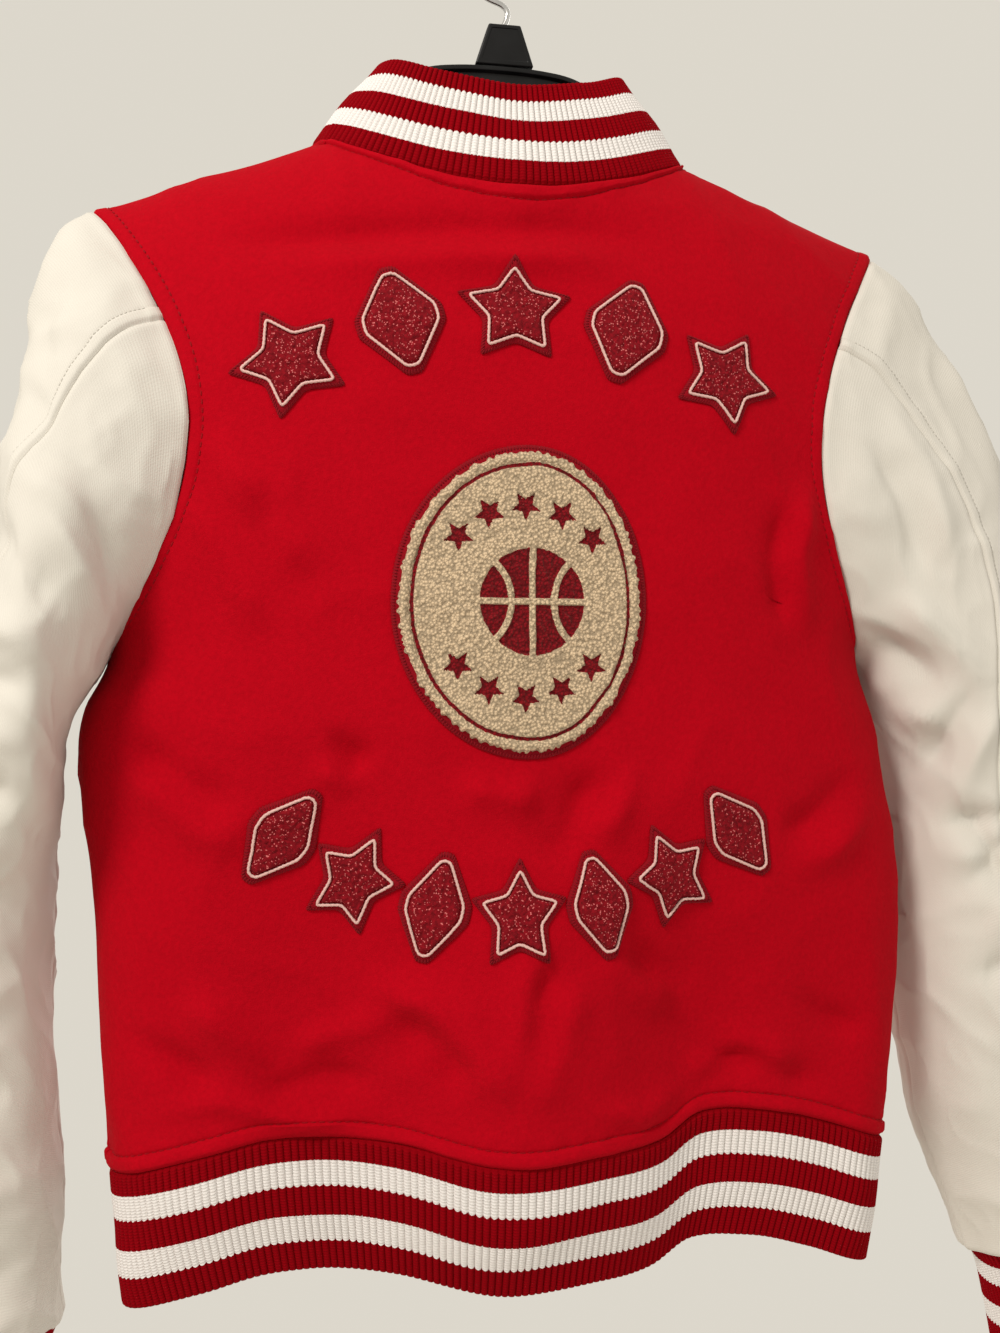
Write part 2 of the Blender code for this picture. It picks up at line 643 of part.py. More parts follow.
def prism(outline, centre_x, centre_z, turn):
    """An outline in the plane of X and Z, turned and drawn out along Y through the back."""
    bm = bmesh.new()
    near_side = []
    far_side = []
    for x, z in outline:
        place_x = (centre_x + x * math.cos(turn) - z * math.sin(turn)) * MM
        place_z = (centre_z + x * math.sin(turn) + z * math.cos(turn)) * MM
        near_side.append(bm.verts.new((place_x, CUTTER_NEAR * MM, place_z)))
        far_side.append(bm.verts.new((place_x, CUTTER_FAR * MM, place_z)))
    bm.faces.new(near_side)
    bm.faces.new(list(reversed(far_side)))
    for i in range(len(outline)):
        j = (i + 1) % len(outline)
        bm.faces.new((near_side[i], far_side[i], far_side[j], near_side[j]))
    bmesh.ops.recalc_face_normals(bm, faces=bm.faces[:])
    return bm


def lying_on(name, outline, centre_x, centre_z, turn, skin, low, high, surface):
    """Cut an outline out of a shell made of the panel's own facets, moved out from low to high."""
    reach = max(math.hypot(x, z) for x, z in outline) + 4.0
    rows, normals = skin_near(skin, centre_x, centre_z, reach)
    shell = wall_mesh(Piece(name, rows, False, high - low, high, HALF_GAP, False, surface), normals)
    made = add_object(name, shell, surface)
    tool = add_object(name + "_outline", prism(outline, centre_x, centre_z, turn), surface)
    tool.hide_render = True
    tool.display_type = "WIRE"
    cut = made.modifiers.new("outline", "BOOLEAN")
    cut.operation = "INTERSECT"
    cut.solver = "EXACT"
    cut.object = tool


# ---------------------------------------------------------------- hard pieces
def snap_cap(name, x, z, tree, surface):
    """A domed snap cap, standing on the right front's outer skin."""
    hit, normal, _, _ = tree.ray_cast(Vector((x, 300.0, z)) * MM, Vector((0, -1, 0)))
    if normal.y < 0:
        normal = -normal
    bm = bmesh.new()
    profile = ((1.0, 0.0), (1.0, 0.45), (0.86, 0.82), (0.5, 1.0))
    rings = []
    for wide, tall in profile:
        rings.append([bm.verts.new((math.cos(math.tau * i / 16) * wide * SNAP_RADIUS * MM,
                                    math.sin(math.tau * i / 16) * wide * SNAP_RADIUS * MM,
                                    tall * SNAP_HEIGHT * MM)) for i in range(16)])
    for low, high in zip(rings, rings[1:]):
        for i in range(16):
            j = (i + 1) % 16
            bm.faces.new((low[i], low[j], high[j], high[i]))
    bm.faces.new(rings[-1])
    bm.faces.new(list(reversed(rings[0])))
    made = add_object(name, bm, surface)
    made.rotation_mode = "QUATERNION"
    made.rotation_quaternion = normal.to_track_quat("Z", "Y")
    made.location = hit + normal * (LAYER_GAP * MM)
    made.data.shade_smooth()
    made.data.set_sharp_from_angle(angle=math.radians(35))
    return made


def hanger_top_line():
    """Upper line of the hanger from the left arm's end to the right one's."""
    half = list(HANGER_MIDDLE)
    for x in HANGER_ARM_XS:
        half.append(Bar(x, shoulder_line(x) - HANGER_BELOW_SEAM))
    return [Bar(-point.x, point.z) for point in reversed(half[1:])] + half


def make_hanger(surface):
    """A moulded bar of I section, swept along the shoulders."""
    line = hanger_top_line()
    half_flange = HANGER_FLANGE / 2.0
    half_web = HANGER_WEB / 2.0
    thick = HANGER_FLANGE_THICK
    section = ((half_flange, 0.0), (half_flange, -thick), (half_web, -thick),
               (half_web, thick - HANGER_DEPTH), (half_flange, thick - HANGER_DEPTH),
               (half_flange, -HANGER_DEPTH))
    section = section + tuple((-y, down) for y, down in reversed(section))
    bm = bmesh.new()
    rings = []
    for i, point in enumerate(line):
        before = line[max(i - 1, 0)]
        after = line[min(i + 1, len(line) - 1)]
        run = Vector((after.x - before.x, 0.0, after.z - before.z)).normalized()
        up = Vector((-run.z, 0.0, run.x))
        rings.append([bm.verts.new((Vector((point.x, y, point.z)) + up * down) * MM) for y, down in section])
    count = len(section)
    for near, far in zip(rings, rings[1:]):
        for i in range(count):
            j = (i + 1) % count
            bm.faces.new((near[i], far[i], far[j], near[j]))
    bm.faces.new(rings[0])
    bm.faces.new(list(reversed(rings[-1])))
    bmesh.ops.triangulate(bm, faces=bm.faces[:])
    bmesh.ops.recalc_face_normals(bm, faces=bm.faces[:])
    return add_object("hanger_bar", bm, surface)


def make_block(surface):
    """The tapered block on the middle of the bar, which holds the hook. Its marking is left off."""
    bm = bmesh.new()
    low_z = BLOCK_LOW_Z
    rings = []
    for y in (-BLOCK_THICK / 2.0, BLOCK_THICK / 2.0):
        rings.append([bm.verts.new((x * MM, y * MM, z * MM)) for x, z in (
            (BLOCK_X - BLOCK_LOW_HALF, low_z), (BLOCK_X + BLOCK_LOW_HALF, low_z),
            (BLOCK_X + BLOCK_TOP_HALF, BLOCK_TOP_Z), (BLOCK_X - BLOCK_TOP_HALF, BLOCK_TOP_Z))])
    bm.faces.new(rings[0])
    bm.faces.new(list(reversed(rings[1])))
    for i in range(4):
        j = (i + 1) % 4
        bm.faces.new((rings[0][i], rings[1][i], rings[1][j], rings[0][j]))
    bmesh.ops.recalc_face_normals(bm, faces=bm.faces[:])
    made = add_object("hanger_block", bm, surface)
    bevel = made.modifiers.new("edges", "BEVEL")
    bevel.width = BLOCK_BEVEL * MM
    bevel.segments = 2
    return made


def make_hook(surface):
    """A bent wire: a short S out of the block, then round the hook's bend."""
    curve = bpy.data.curves.new("hanger_hook", "CURVE")
    curve.dimensions = "3D"
    curve.bevel_depth = WIRE_RADIUS * MM
    curve.bevel_resolution = 2
    curve.use_fill_caps = True
    points = [Vector((step.x, 0.0, step.z)) for step in HOOK_ROUTE]
    centre = Vector((0.0, 0.0, WIRE_RADIUS - HOOK_RADIUS))
    steps = 16
    for i in range(steps + 1):
        turn = math.radians(180.0 - (180.0 - HOOK_ARC_END) * i / steps)
        points.append(centre + Vector((math.cos(turn), 0.0, math.sin(turn))) * HOOK_RADIUS)
    line = curve.splines.new("POLY")
    line.points.add(len(points) - 1)
    for target, point in zip(line.points, points):
        target.co = (*(point * MM), 1.0)
    made = bpy.data.objects.new("hanger_hook", curve)
    made.data.materials.append(surface)
    bpy.context.collection.objects.link(made)
    return made


# ---------------------------------------------------------------- the whole
def main():
    for old in list(bpy.data.objects):
        bpy.data.objects.remove(old, do_unlink=True)

    red_fleece = material("red_fleece", (0.60, 0.004, 0.016), 0.9)
    rib_knit = material("rib_knit", (0.36, 0.003, 0.014), 0.92)
    cream_twill = material("cream_twill", (0.84, 0.80, 0.71), 0.85)
    felt_red = material("felt_red", (0.28, 0.004, 0.012), 0.95)
    chenille_red = material("chenille_red", (0.36, 0.005, 0.016), 0.95)
    chenille_cream = material("chenille_cream", (0.78, 0.66, 0.44), 0.95)
    snap_metal = material("snap_metal", (0.70, 0.70, 0.70), 0.3, 1.0)
    hanger_plastic = material("hanger_plastic", (0.012, 0.012, 0.013), 0.45)
    hook_wire = material("hook_wire", (0.62, 0.62, 0.62), 0.25, 1.0)

    back = body_grid(-1)
    left_front, right_front = front_grids(body_grid(1))
    left_top, left_under = sleeve_grids(SLEEVE_LEFT, -1)
    right_top, right_under = sleeve_grids(SLEEVE_RIGHT, 1)
    hem = hem_grid(back, left_front, right_front)
    collar = collar_grid(back, left_front, right_front)
    cuff_left = cuff_grid(CUFF_LEFT, left_top, left_under, -1)
    cuff_right = cuff_grid(CUFF_RIGHT, right_top, right_under, 1)

    pieces = [
        Piece("back", back, False, CLOTH, 0.0, HALF_GAP, True, red_fleece),
        Piece("front_left", left_front, False, CLOTH, 0.0, HALF_GAP, False, red_fleece),
        Piece("front_right", right_front, False, CLOTH, 0.0, HALF_GAP, False, red_fleece),
        Piece("sleeve_left_top", left_top, False, CLOTH, 0.0, HALF_GAP, True, cream_twill),
        Piece("sleeve_left_under", left_under, False, CLOTH, 0.0, HALF_GAP, True, cream_twill),
        Piece("sleeve_right_top", right_top, False, CLOTH, 0.0, HALF_GAP, False, cream_twill),
        Piece("sleeve_right_under", right_under, False, CLOTH, 0.0, HALF_GAP, False, cream_twill),
        Piece("hem_rib", hem, False, RIB_CLOTH, RIB_PROUD, RIB_HALF_GAP, True, rib_knit),
        Piece("collar", collar, False, RIB_CLOTH, RIB_PROUD, RIB_HALF_GAP, False, rib_knit),
        Piece("cuff_left", cuff_left, True, RIB_CLOTH, RIB_PROUD, RIB_HALF_GAP, True, rib_knit),
        Piece("cuff_right", cuff_right, True, RIB_CLOTH, RIB_PROUD, RIB_HALF_GAP, False, rib_knit),
    ]
    normals = shared_normals(pieces)
    trees = {}
    for piece in pieces:
        bm = wall_mesh(piece, normals[piece.name])
        trees[piece.name] = BVHTree.FromBMesh(bm)
        add_object(piece.name, bm, piece.material)

    back_skin = (back, normals["back"])
    felt_low = LAYER_GAP
    felt_high = felt_low + PATCH_FELT
    pile_low = felt_high + LAYER_GAP
    pile_high = pile_low + PATCH_PILE
    for arc in ARCS:
        for number, shape in enumerate(arc.shapes):
            turn = math.radians(arc.step * (number - (len(arc.shapes) - 1) / 2.0))
            swing = math.copysign(1.0, arc.radius)
            x = arc.middle_x + abs(arc.radius) * math.sin(turn)
            z = arc.middle_z - arc.radius * (1.0 - math.cos(turn))
            spot = (x, z, -swing * turn, back_skin)
            outline = star_outline if shape == "star" else lozenge_outline
            width = STAR_WIDTH[arc.name] if shape == "star" else LOZENGE_WIDTH[arc.name]
            name = f"{arc.name}_{shape}_{number + 1}"
            lying_on(name + "_felt", outline(width, 0.0), *spot, felt_low, felt_high, felt_red)
            lying_on(name + "_pile", outline(width, PATCH_MARGIN), *spot, pile_low, pile_high, chenille_red)
    spot = (BADGE_X, BADGE_Z, 0.0, back_skin)
    lying_on("badge_felt", badge_outline(0.0), *spot, felt_low, felt_high, felt_red)
    lying_on("badge_pile", badge_outline(PATCH_MARGIN), *spot, pile_low, pile_high, chenille_cream)

    for number, z in enumerate(SNAP_HEIGHTS, 1):
        snap_cap(f"snap_{number}", 0.0, z, trees["front_right"], snap_metal)

    make_hanger(hanger_plastic)
    make_block(hanger_plastic)
    make_hook(hook_wire)


main()
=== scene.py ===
"""Varsity jacket hanging on a clothes hanger: fleece body, twill sleeves, striped ribs and patches.

Sizes in the tables are in millimetres and angles in degrees, and the meshes are in metres.
The origin is the hanging point, +Z is up, +Y is the jacket's front and +X the wearer's right.
Each cut piece of cloth is a thin closed wall whose neighbours follow the same seam line.
"""

import math
from collections import namedtuple
from functools import lru_cache

import bpy
import bmesh
import numpy as np
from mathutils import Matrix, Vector, noise
from mathutils.bvhtree import BVHTree


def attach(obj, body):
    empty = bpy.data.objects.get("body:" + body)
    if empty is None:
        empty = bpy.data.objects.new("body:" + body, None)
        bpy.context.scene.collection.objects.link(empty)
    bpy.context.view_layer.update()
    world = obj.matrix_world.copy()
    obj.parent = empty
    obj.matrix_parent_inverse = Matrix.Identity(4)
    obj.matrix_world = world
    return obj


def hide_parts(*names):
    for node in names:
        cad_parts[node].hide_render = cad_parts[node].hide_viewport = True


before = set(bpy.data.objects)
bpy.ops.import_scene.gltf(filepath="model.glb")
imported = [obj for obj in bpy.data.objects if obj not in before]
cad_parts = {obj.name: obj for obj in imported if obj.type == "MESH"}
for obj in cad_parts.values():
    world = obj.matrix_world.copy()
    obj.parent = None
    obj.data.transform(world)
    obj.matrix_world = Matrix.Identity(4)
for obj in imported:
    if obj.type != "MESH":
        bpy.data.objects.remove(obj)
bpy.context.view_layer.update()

bl_info = {
    "name": "Varsity jacket on a hanger",
    "version": (1, 0, 0),
    "blender": (4, 5, 0),
    "location": "View3D > Sidebar > Jacket",
    "description": "Builds a varsity jacket with ribs, patches and snaps on a clothes hanger",
    "category": "Object",
}

MM = 0.001

# ---------------------------------------------------------------- sizes of the cloth
CLOTH = 1.8
RIB_CLOTH = 3.2
RIB_PROUD = 0.7
LAYER_GAP = 0.4
SPREAD = 5               # parts that each pattern station is divided into

SHOULDER_TIP_X = 205.0
SHOULDER_TIP_Z = -178.0
NECK_POINT_X = 97.0
NECK_POINT_Z = -139.0
BACK_NECK_DROP = 31.0
FRONT_NECK_DROP = 85.0
UNDERARM_Z = -392.0
ARMHOLE_DIP_BACK = 41.0
ARMHOLE_DIP_FRONT = 46.0
SHOULDER_ROUND = 150.0
SECTION_POWER = 2.4
SHOULDER_POWER = 2.2
FRONT_LAP = 12.0
LAP_FULL = 46.0
LAP_RAMP = 46.0
HEM_RIB_HEIGHT = 66.0
SIDE_FOOT_Z = -646.0

Body = namedtuple("Body", "z left right back front")
BODY_SECTIONS = (
    Body(-100.0, 214.0, 214.0, 70.0, 60.0),
    Body(-178.0, 213.0, 213.0, 70.0, 62.0),
    Body(-280.0, 208.0, 206.0, 71.0, 66.0),
    Body(-345.0, 198.0, 197.0, 72.0, 68.0),
    Body(-392.0, 192.0, 190.0, 71.0, 68.0),
    Body(-438.0, 208.0, 202.0, 69.0, 68.0),
    Body(-492.0, 203.0, 211.0, 68.0, 68.0),
    Body(-553.0, 198.0, 214.0, 67.0, 67.0),
    Body(-606.0, 194.0, 208.0, 65.0, 65.0),
    Body(-650.0, 191.0, 203.0, 63.0, 63.0),
)

Hem = namedtuple("Hem", "x back_z front_z")
HEM_LINE = (
    Hem(-191.0, -645.0, -645.0),
    Hem(-155.0, -634.0, -641.0),
    Hem(-115.0, -625.0, -638.0),
    Hem(-60.0, -628.0, -642.0),
    Hem(-12.0, -637.5, -646.0),
    Hem(40.0, -635.5, -646.0),
    Hem(72.0, -633.0, -641.0),
    Hem(95.0, -623.0, -636.0),
    Hem(130.0, -624.0, -637.0),
    Hem(162.0, -632.0, -642.0),
    Hem(203.0, -647.0, -647.0),
)

# broad folds: a fold runs from its top to its foot; out is its rise, and a negative one is a trough
Fold = namedtuple("Fold", "top_x top_z foot_x foot_z out width at_hem")
BACK_FOLDS = (
    Fold(22.0, -470.0, -6.0, -645.0, 6.0, 40.0, True),
    Fold(76.0, -455.0, 104.0, -640.0, -21.0, 44.0, True),
    Fold(-104.0, -400.0, -86.0, -640.0, -17.0, 50.0, True),
    Fold(150.0, -470.0, 160.0, -640.0, -8.0, 28.0, True),
    Fold(-90.0, -212.0, 96.0, -214.0, -4.0, 26.0, False),
)
FRONT_FOLDS = (
    Fold(-70.0, -430.0, -62.0, -640.0, -12.0, 44.0, True),
    Fold(96.0, -420.0, 84.0, -640.0, -14.0, 40.0, True),
    Fold(-150.0, -520.0, -146.0, -640.0, -7.0, 26.0, True),
)

# top is the sleeve's outer edge, under its inner one; lean turns the section in plan
Sleeve = namedtuple("Sleeve", "top_x top_z under_x under_z mid_y back front lean seam blend")
SLEEVE_LEFT = (
    Sleeve(205.0, -178.0, 192.0, -392.0, 0.0, 52.0, 50.0, 0.0, 65.0, 0.0),
    Sleeve(218.0, -190.0, 195.5, -398.0, -6.0, 60.0, 50.0, 4.0, 63.0, 0.25),
    Sleeve(230.0, -219.0, 199.5, -406.0, -8.0, 66.0, 54.0, 10.0, 58.0, 0.50),
    Sleeve(236.0, -258.0, 206.0, -416.0, -10.0, 70.0, 56.0, 14.0, 51.0, 0.75),
    Sleeve(242.0, -302.0, 212.0, -427.0, -10.0, 72.0, 58.0, 16.0, 45.0, 1.0),
    Sleeve(251.0, -355.0, 216.0, -441.0, -8.0, 72.0, 58.0, 16.0, 42.0, 1.0),
    Sleeve(266.0, -410.0, 218.5, -460.0, -4.0, 68.0, 60.0, 14.0, 42.0, 1.0),
    Sleeve(286.0, -462.0, 220.5, -486.0, 4.0, 58.0, 62.0, 8.0, 43.0, 1.0),
    Sleeve(300.0, -512.0, 221.5, -520.0, 10.0, 50.0, 60.0, 2.0, 45.0, 1.0),
    Sleeve(306.0, -566.0, 222.0, -566.0, 12.0, 48.0, 56.0, 0.0, 46.0, 1.0),
    Sleeve(305.0, -622.0, 220.0, -618.0, 12.0, 46.0, 52.0, 0.0, 48.0, 1.0),
    Sleeve(300.0, -678.0, 217.5, -672.0, 11.0, 44.0, 48.0, 0.0, 50.0, 1.0),
    Sleeve(293.0, -726.0, 216.0, -720.0, 10.0, 41.0, 43.0, 0.0, 50.0, 1.0),
)
SLEEVE_RIGHT = (
    Sleeve(205.0, -178.0, 190.0, -392.0, 0.0, 52.0, 50.0, 0.0, 65.0, 0.0),
    Sleeve(224.0, -193.0, 194.0, -397.0, 0.0, 55.0, 52.0, 2.0, 66.0, 0.25),
    Sleeve(244.0, -226.0, 200.0, -405.0, 4.0, 58.0, 56.0, 3.0, 70.0, 0.50),
    Sleeve(264.0, -260.0, 206.5, -416.0, 8.0, 60.0, 58.0, 4.0, 76.0, 0.75),
    Sleeve(281.0, -303.0, 212.0, -430.0, 12.0, 62.0, 58.0, 4.0, 84.0, 1.0),
    Sleeve(297.0, -350.0, 216.0, -449.0, 16.0, 64.0, 58.0, 4.0, 92.0, 1.0),
    Sleeve(309.0, -400.0, 219.0, -474.0, 20.0, 64.0, 56.0, 2.0, 98.0, 1.0),
    Sleeve(319.0, -452.0, 221.0, -508.0, 22.0, 62.0, 54.0, 0.0, 100.0, 1.0),
    Sleeve(328.0, -506.0, 223.0, -548.0, 22.0, 58.0, 52.0, 0.0, 100.0, 1.0),
    Sleeve(337.0, -560.0, 229.0, -594.0, 22.0, 54.0, 50.0, 0.0, 100.0, 1.0),
    Sleeve(346.0, -612.0, 240.0, -642.0, 21.0, 50.0, 48.0, 0.0, 100.0, 1.0),
    Sleeve(353.0, -660.0, 256.0, -687.0, 20.0, 46.0, 45.0, 0.0, 100.0, 1.0),
    Sleeve(358.0, -698.0, 269.0, -720.0, 20.0, 42.0, 42.0, 0.0, 100.0, 1.0),
)

Rib = namedtuple("Rib", "down wide deep")
HEM_RIB = (Rib(0.0, 1.0, 1.0), Rib(0.5, 0.985, 0.90), Rib(1.0, 0.962, 0.70))

Cuff = namedtuple("Cuff", "drop_x drop_z squeeze")
CUFF_LEFT = (Cuff(0.0, -4.0, 0.86), Cuff(0.0, -30.0, 0.80), Cuff(1.0, -64.0, 0.84))
CUFF_RIGHT = (Cuff(0.8, -3.9, 0.86), Cuff(7.0, -29.0, 0.80), Cuff(15.0, -62.0, 0.84))

Collar = namedtuple("Collar", "turn x y z")
COLLAR_TOP = (
    Collar(0.0, 1.0, 52.0, -168.0),
    Collar(40.0, 33.0, 44.0, -142.0),
    Collar(80.0, 61.0, 10.0, -98.0),
    Collar(110.0, 59.0, -22.0, -98.0),
    Collar(145.0, 36.0, -42.0, -109.6),
    Collar(180.0, 0.0, -48.0, -116.2),
    Collar(215.0, -36.0, -42.0, -109.6),
)

BACK_SEAM_TURN = 65.0
ARM_TOP_BACK = (0.0, 22.0, 44.0, 65.0)
ARM_UNDER = (65.0, 82.0, 99.0, 116.0, 133.0, 148.0, 163.0, 180.0)
ARM_FRONT = (180.0, 197.0, 212.0, 229.0, 248.0, 268.0, 290.0, 313.0, 337.0, 360.0)
SHOULDER_TURNS = (90.0, 79.0, 68.0, 57.0, 46.0, 35.0, 24.0)
NECK_TURNS = (24.0, 18.0, 12.0, 6.0, 0.0)
SIDE_ROWS = 9

# ---------------------------------------------------------------- creases
CREASE_DEPTH = 1.7       # the rise of every crease is multiplied by this
BODY_CREASES = 1.3       # and the rise of the body's creases by this as well
# a crease is a soft line on one face of the cloth; out is its rise and a negative one is a trough
Crease = namedtuple("Crease", "out width line")
BACK_CREASES = (
    Crease(-2.6, 8.0, ((-157, -204), (-108, -199), (-35, -193), (38, -191), (84, -194))),
    Crease(1.8, 7.0, ((-120, -217), (-35, -209), (63, -206))),
    Crease(3.4, 9.0, ((-152, -290), (-113, -345), (-86, -380))),
    Crease(-3.0, 8.0, ((-132, -312), (-112, -350), (-92, -378))),
    Crease(1.8, 7.0, ((-160, -322), (-138, -358), (-118, -392))),
    Crease(-2.6, 7.0, ((-92, -434), (-72, -453))),
    Crease(1.8, 6.0, ((-100, -446), (-78, -464))),
    Crease(-2.6, 10.0, ((40, -448), (29, -464), (10, -502))),
    Crease(2.6, 8.0, ((-34, -460), (12, -467))),
    Crease(2.0, 7.0, ((56, -446), (46, -470), (30, -492))),
    Crease(2.8, 9.0, ((-78, -552), (-46, -560), (-28, -580), (-14, -606))),
    Crease(-2.4, 9.0, ((-64, -566), (-42, -580), (-24, -604))),
    Crease(1.8, 8.0, ((-42, -552), (-26, -566), (-12, -600), (-10, -620))),
    Crease(2.2, 9.0, ((12, -514), (0, -562), (-8, -612))),
    Crease(-2.4, 8.0, ((14, -536), (6, -560), (3, -590))),
    Crease(1.6, 8.0, ((28, -548), (18, -580), (4, -614))),
    Crease(2.6, 9.0, ((36, -538), (58, -556), (84, -568))),
    Crease(-2.4, 9.0, ((46, -530), (68, -552), (92, -560))),
    Crease(-2.8, 7.0, ((82, -592), (126, -598), (166, -618))),
    Crease(2.6, 7.0, ((80, -604), (116, -590), (152, -606))),
    Crease(-2.6, 7.0, ((-186, -572), (-158, -590), (-136, -605))),
    Crease(2.8, 8.0, ((-160, -554), (-116, -592))),
    Crease(2.2, 7.0, ((-110, -583), (-58, -568))),
    Crease(-2.0, 6.0, ((-128, -606), (-92, -596), (-62, -600))),
    Crease(2.2, 5.0, ((-182, -614), (-142, -606), (-98, -618), (-58, -612))),
    Crease(2.4, 8.0, ((150, -300), (140, -345), (148, -392))),
    Crease(-2.2, 7.0, ((136, -316), (128, -352), (134, -388))),
    Crease(-2.0, 8.0, ((180, -452), (150, -478), (122, -488))),
    Crease(2.2, 8.0, ((188, -470), (160, -494), (132, -504))),
    Crease(-2.4, 8.0, ((-190, -430), (-160, -458), (-130, -470))),
    Crease(2.2, 8.0, ((-186, -448), (-150, -480), (-122, -490))),
    Crease(-2.0, 6.0, ((140, -560), (160, -578), (190, -590))),
    Crease(1.8, 6.0, ((28, -610), (60, -620), (88, -606))),
)
FRONT_CREASES = (
    Crease(-2.8, 9.0, ((-150, -250), (-110, -330), (-96, -400))),
    Crease(2.8, 9.0, ((-164, -262), (-130, -334), (-118, -404))),
    Crease(2.6, 9.0, ((148, -256), (118, -330), (110, -392))),
    Crease(-2.4, 8.0, ((132, -262), (104, -330), (96, -384))),
    Crease(-2.4, 8.0, ((-186, -446), (-150, -472), (-112, -484))),
    Crease(2.4, 8.0, ((-188, -462), (-150, -490), (-108, -500))),
    Crease(-2.4, 8.0, ((184, -440), (150, -470), (118, -480))),
    Crease(2.2, 8.0, ((190, -458), (154, -488), (116, -498))),
    Crease(2.8, 7.0, ((-96, -540), (-62, -566), (-46, -612))),
    Crease(-2.8, 7.0, ((-80, -556), (-48, -584), (-32, -618))),
    Crease(2.6, 7.0, ((112, -542), (84, -572), (62, -614))),
    Crease(-2.6, 7.0, ((126, -556), (98, -586), (80, -622))),
    Crease(2.2, 6.0, ((-176, -606), (-136, -598), (-100, -612))),
    Crease(2.2, 6.0, ((172, -608), (140, -598), (104, -614))),
)
SLEEVE_BACK_CREASES = {
    -1: (
        Crease(-2.0, 8.0, ((-240, -262), (-214, -300), (-186, -326))),
        Crease(1.8, 8.0, ((-252, -284), (-222, -322), (-188, -350))),
        Crease(-2.2, 7.0, ((-206, -318), (-192, -348), (-186, -380))),
        Crease(2.0, 7.0, ((-222, -330), (-204, -358), (-196, -390))),
        Crease(-2.6, 8.0, ((-252, -330), (-226, -362), (-204, -384))),
        Crease(3.0, 8.0, ((-262, -356), (-236, -388), (-208, -404))),
        Crease(-3.4, 7.0, ((-266, -392), (-244, -410), (-216, -416))),
        Crease(3.4, 8.0, ((-276, -412), (-246, -434), (-220, -440))),
        Crease(-4.2, 8.0, ((-290, -446), (-258, -462), (-222, -464))),
        Crease(3.2, 8.0, ((-300, -476), (-262, -488), (-224, -486))),
        Crease(-2.6, 8.0, ((-306, -508), (-270, -516), (-226, -506))),
        Crease(2.4, 9.0, ((-304, -548), (-266, -560), (-226, -548))),
        Crease(-2.2, 9.0, ((-302, -590), (-262, -606), (-224, -598))),
        Crease(2.4, 8.0, ((-300, -640), (-258, -652), (-222, -640))),
        Crease(-2.4, 7.0, ((-298, -676), (-256, -688), (-222, -680))),
        Crease(2.4, 6.0, ((-296, -704), (-258, -710), (-220, -704))),
        Crease(-2.0, 7.0, ((-214, -214), (-224, -244), (-222, -280))),
    ),
    1: (
        Crease(-2.6, 7.0, ((180, -282), (200, -318), (216, -360))),
        Crease(2.8, 8.0, ((192, -262), (216, -310), (232, -360))),
        Crease(-4.2, 8.0, ((180, -376), (206, -396), (232, -416))),
        Crease(3.4, 8.0, ((196, -360), (224, -386), (252, -412))),
        Crease(3.0, 8.0, ((192, -398), (212, -420), (236, -438))),
        Crease(-3.2, 7.0, ((242, -408), (228, -436), (222, -466))),
        Crease(2.8, 7.0, ((256, -412), (244, -446), (236, -480))),
        Crease(-3.2, 7.0, ((224, -484), (256, -480), (292, -462))),
        Crease(3.0, 7.0, ((228, -500), (262, -500), (304, -480))),
        Crease(-3.4, 6.0, ((232, -468), (256, -500), (268, -530))),
        Crease(-3.0, 6.0, ((286, -462), (262, -494), (236, -524))),
        Crease(2.6, 7.0, ((290, -490), (272, -524), (250, -548))),
        Crease(-2.6, 7.0, ((300, -532), (274, -556), (240, -566))),
        Crease(2.6, 8.0, ((330, -548), (292, -576), (250, -590))),
        Crease(-2.8, 8.0, ((340, -588), (302, -606), (256, -616))),
        Crease(2.6, 7.0, ((344, -622), (306, -640), (262, -652))),
        Crease(-2.4, 7.0, ((350, -648), (314, -668), (276, -680))),
        Crease(2.4, 6.0, ((354, -676), (316, -692), (280, -704))),
        Crease(2.2, 8.0, ((226, -214), (250, -262), (266, -320))),
        Crease(-2.0, 8.0, ((262, -330), (282, -372), (292, -420))),
    ),
}
SLEEVE_FRONT_CREASES = {
    -1: (
        Crease(-3.0, 8.0, ((-190, -300), (-208, -350), (-214, -396))),
        Crease(2.8, 8.0, ((-206, -286), (-226, -340), (-232, -396))),
        Crease(-3.4, 8.0, ((-222, -420), (-250, -432), (-284, -430))),
        Crease(3.2, 8.0, ((-222, -444), (-254, -458), (-292, -456))),
        Crease(-3.2, 8.0, ((-224, -474), (-258, -486), (-300, -484))),
        Crease(2.8, 8.0, ((-224, -504), (-262, -520), (-302, -512))),
        Crease(-2.4, 8.0, ((-224, -556), (-262, -574), (-302, -568))),
        Crease(2.4, 8.0, ((-222, -612), (-258, -626), (-300, -618))),
        Crease(-2.2, 7.0, ((-220, -664), (-256, -676), (-296, -670))),
        Crease(2.2, 6.0, ((-220, -696), (-256, -704), (-292, -698))),
    ),
    1: (
        Crease(-3.0, 8.0, ((184, -300), (206, -352), (216, -404))),
        Crease(2.8, 8.0, ((200, -282), (226, -340), (238, -400))),
        Crease(-3.2, 8.0, ((222, -432), (252, -440), (290, -424))),
        Crease(3.0, 8.0, ((224, -460), (258, -470), (300, -452))),
        Crease(-3.0, 8.0, ((228, -496), (266, -504), (312, -484))),
        Crease(2.6, 8.0, ((234, -534), (276, -546), (324, -526))),
        Crease(-2.4, 8.0, ((244, -586), (288, -598), (334, -580))),
        Crease(2.4, 8.0, ((262, -640), (302, -646), (344, -630))),
        Crease(-2.2, 7.0, ((276, -682), (312, -684), (350, -666))),
    ),
}

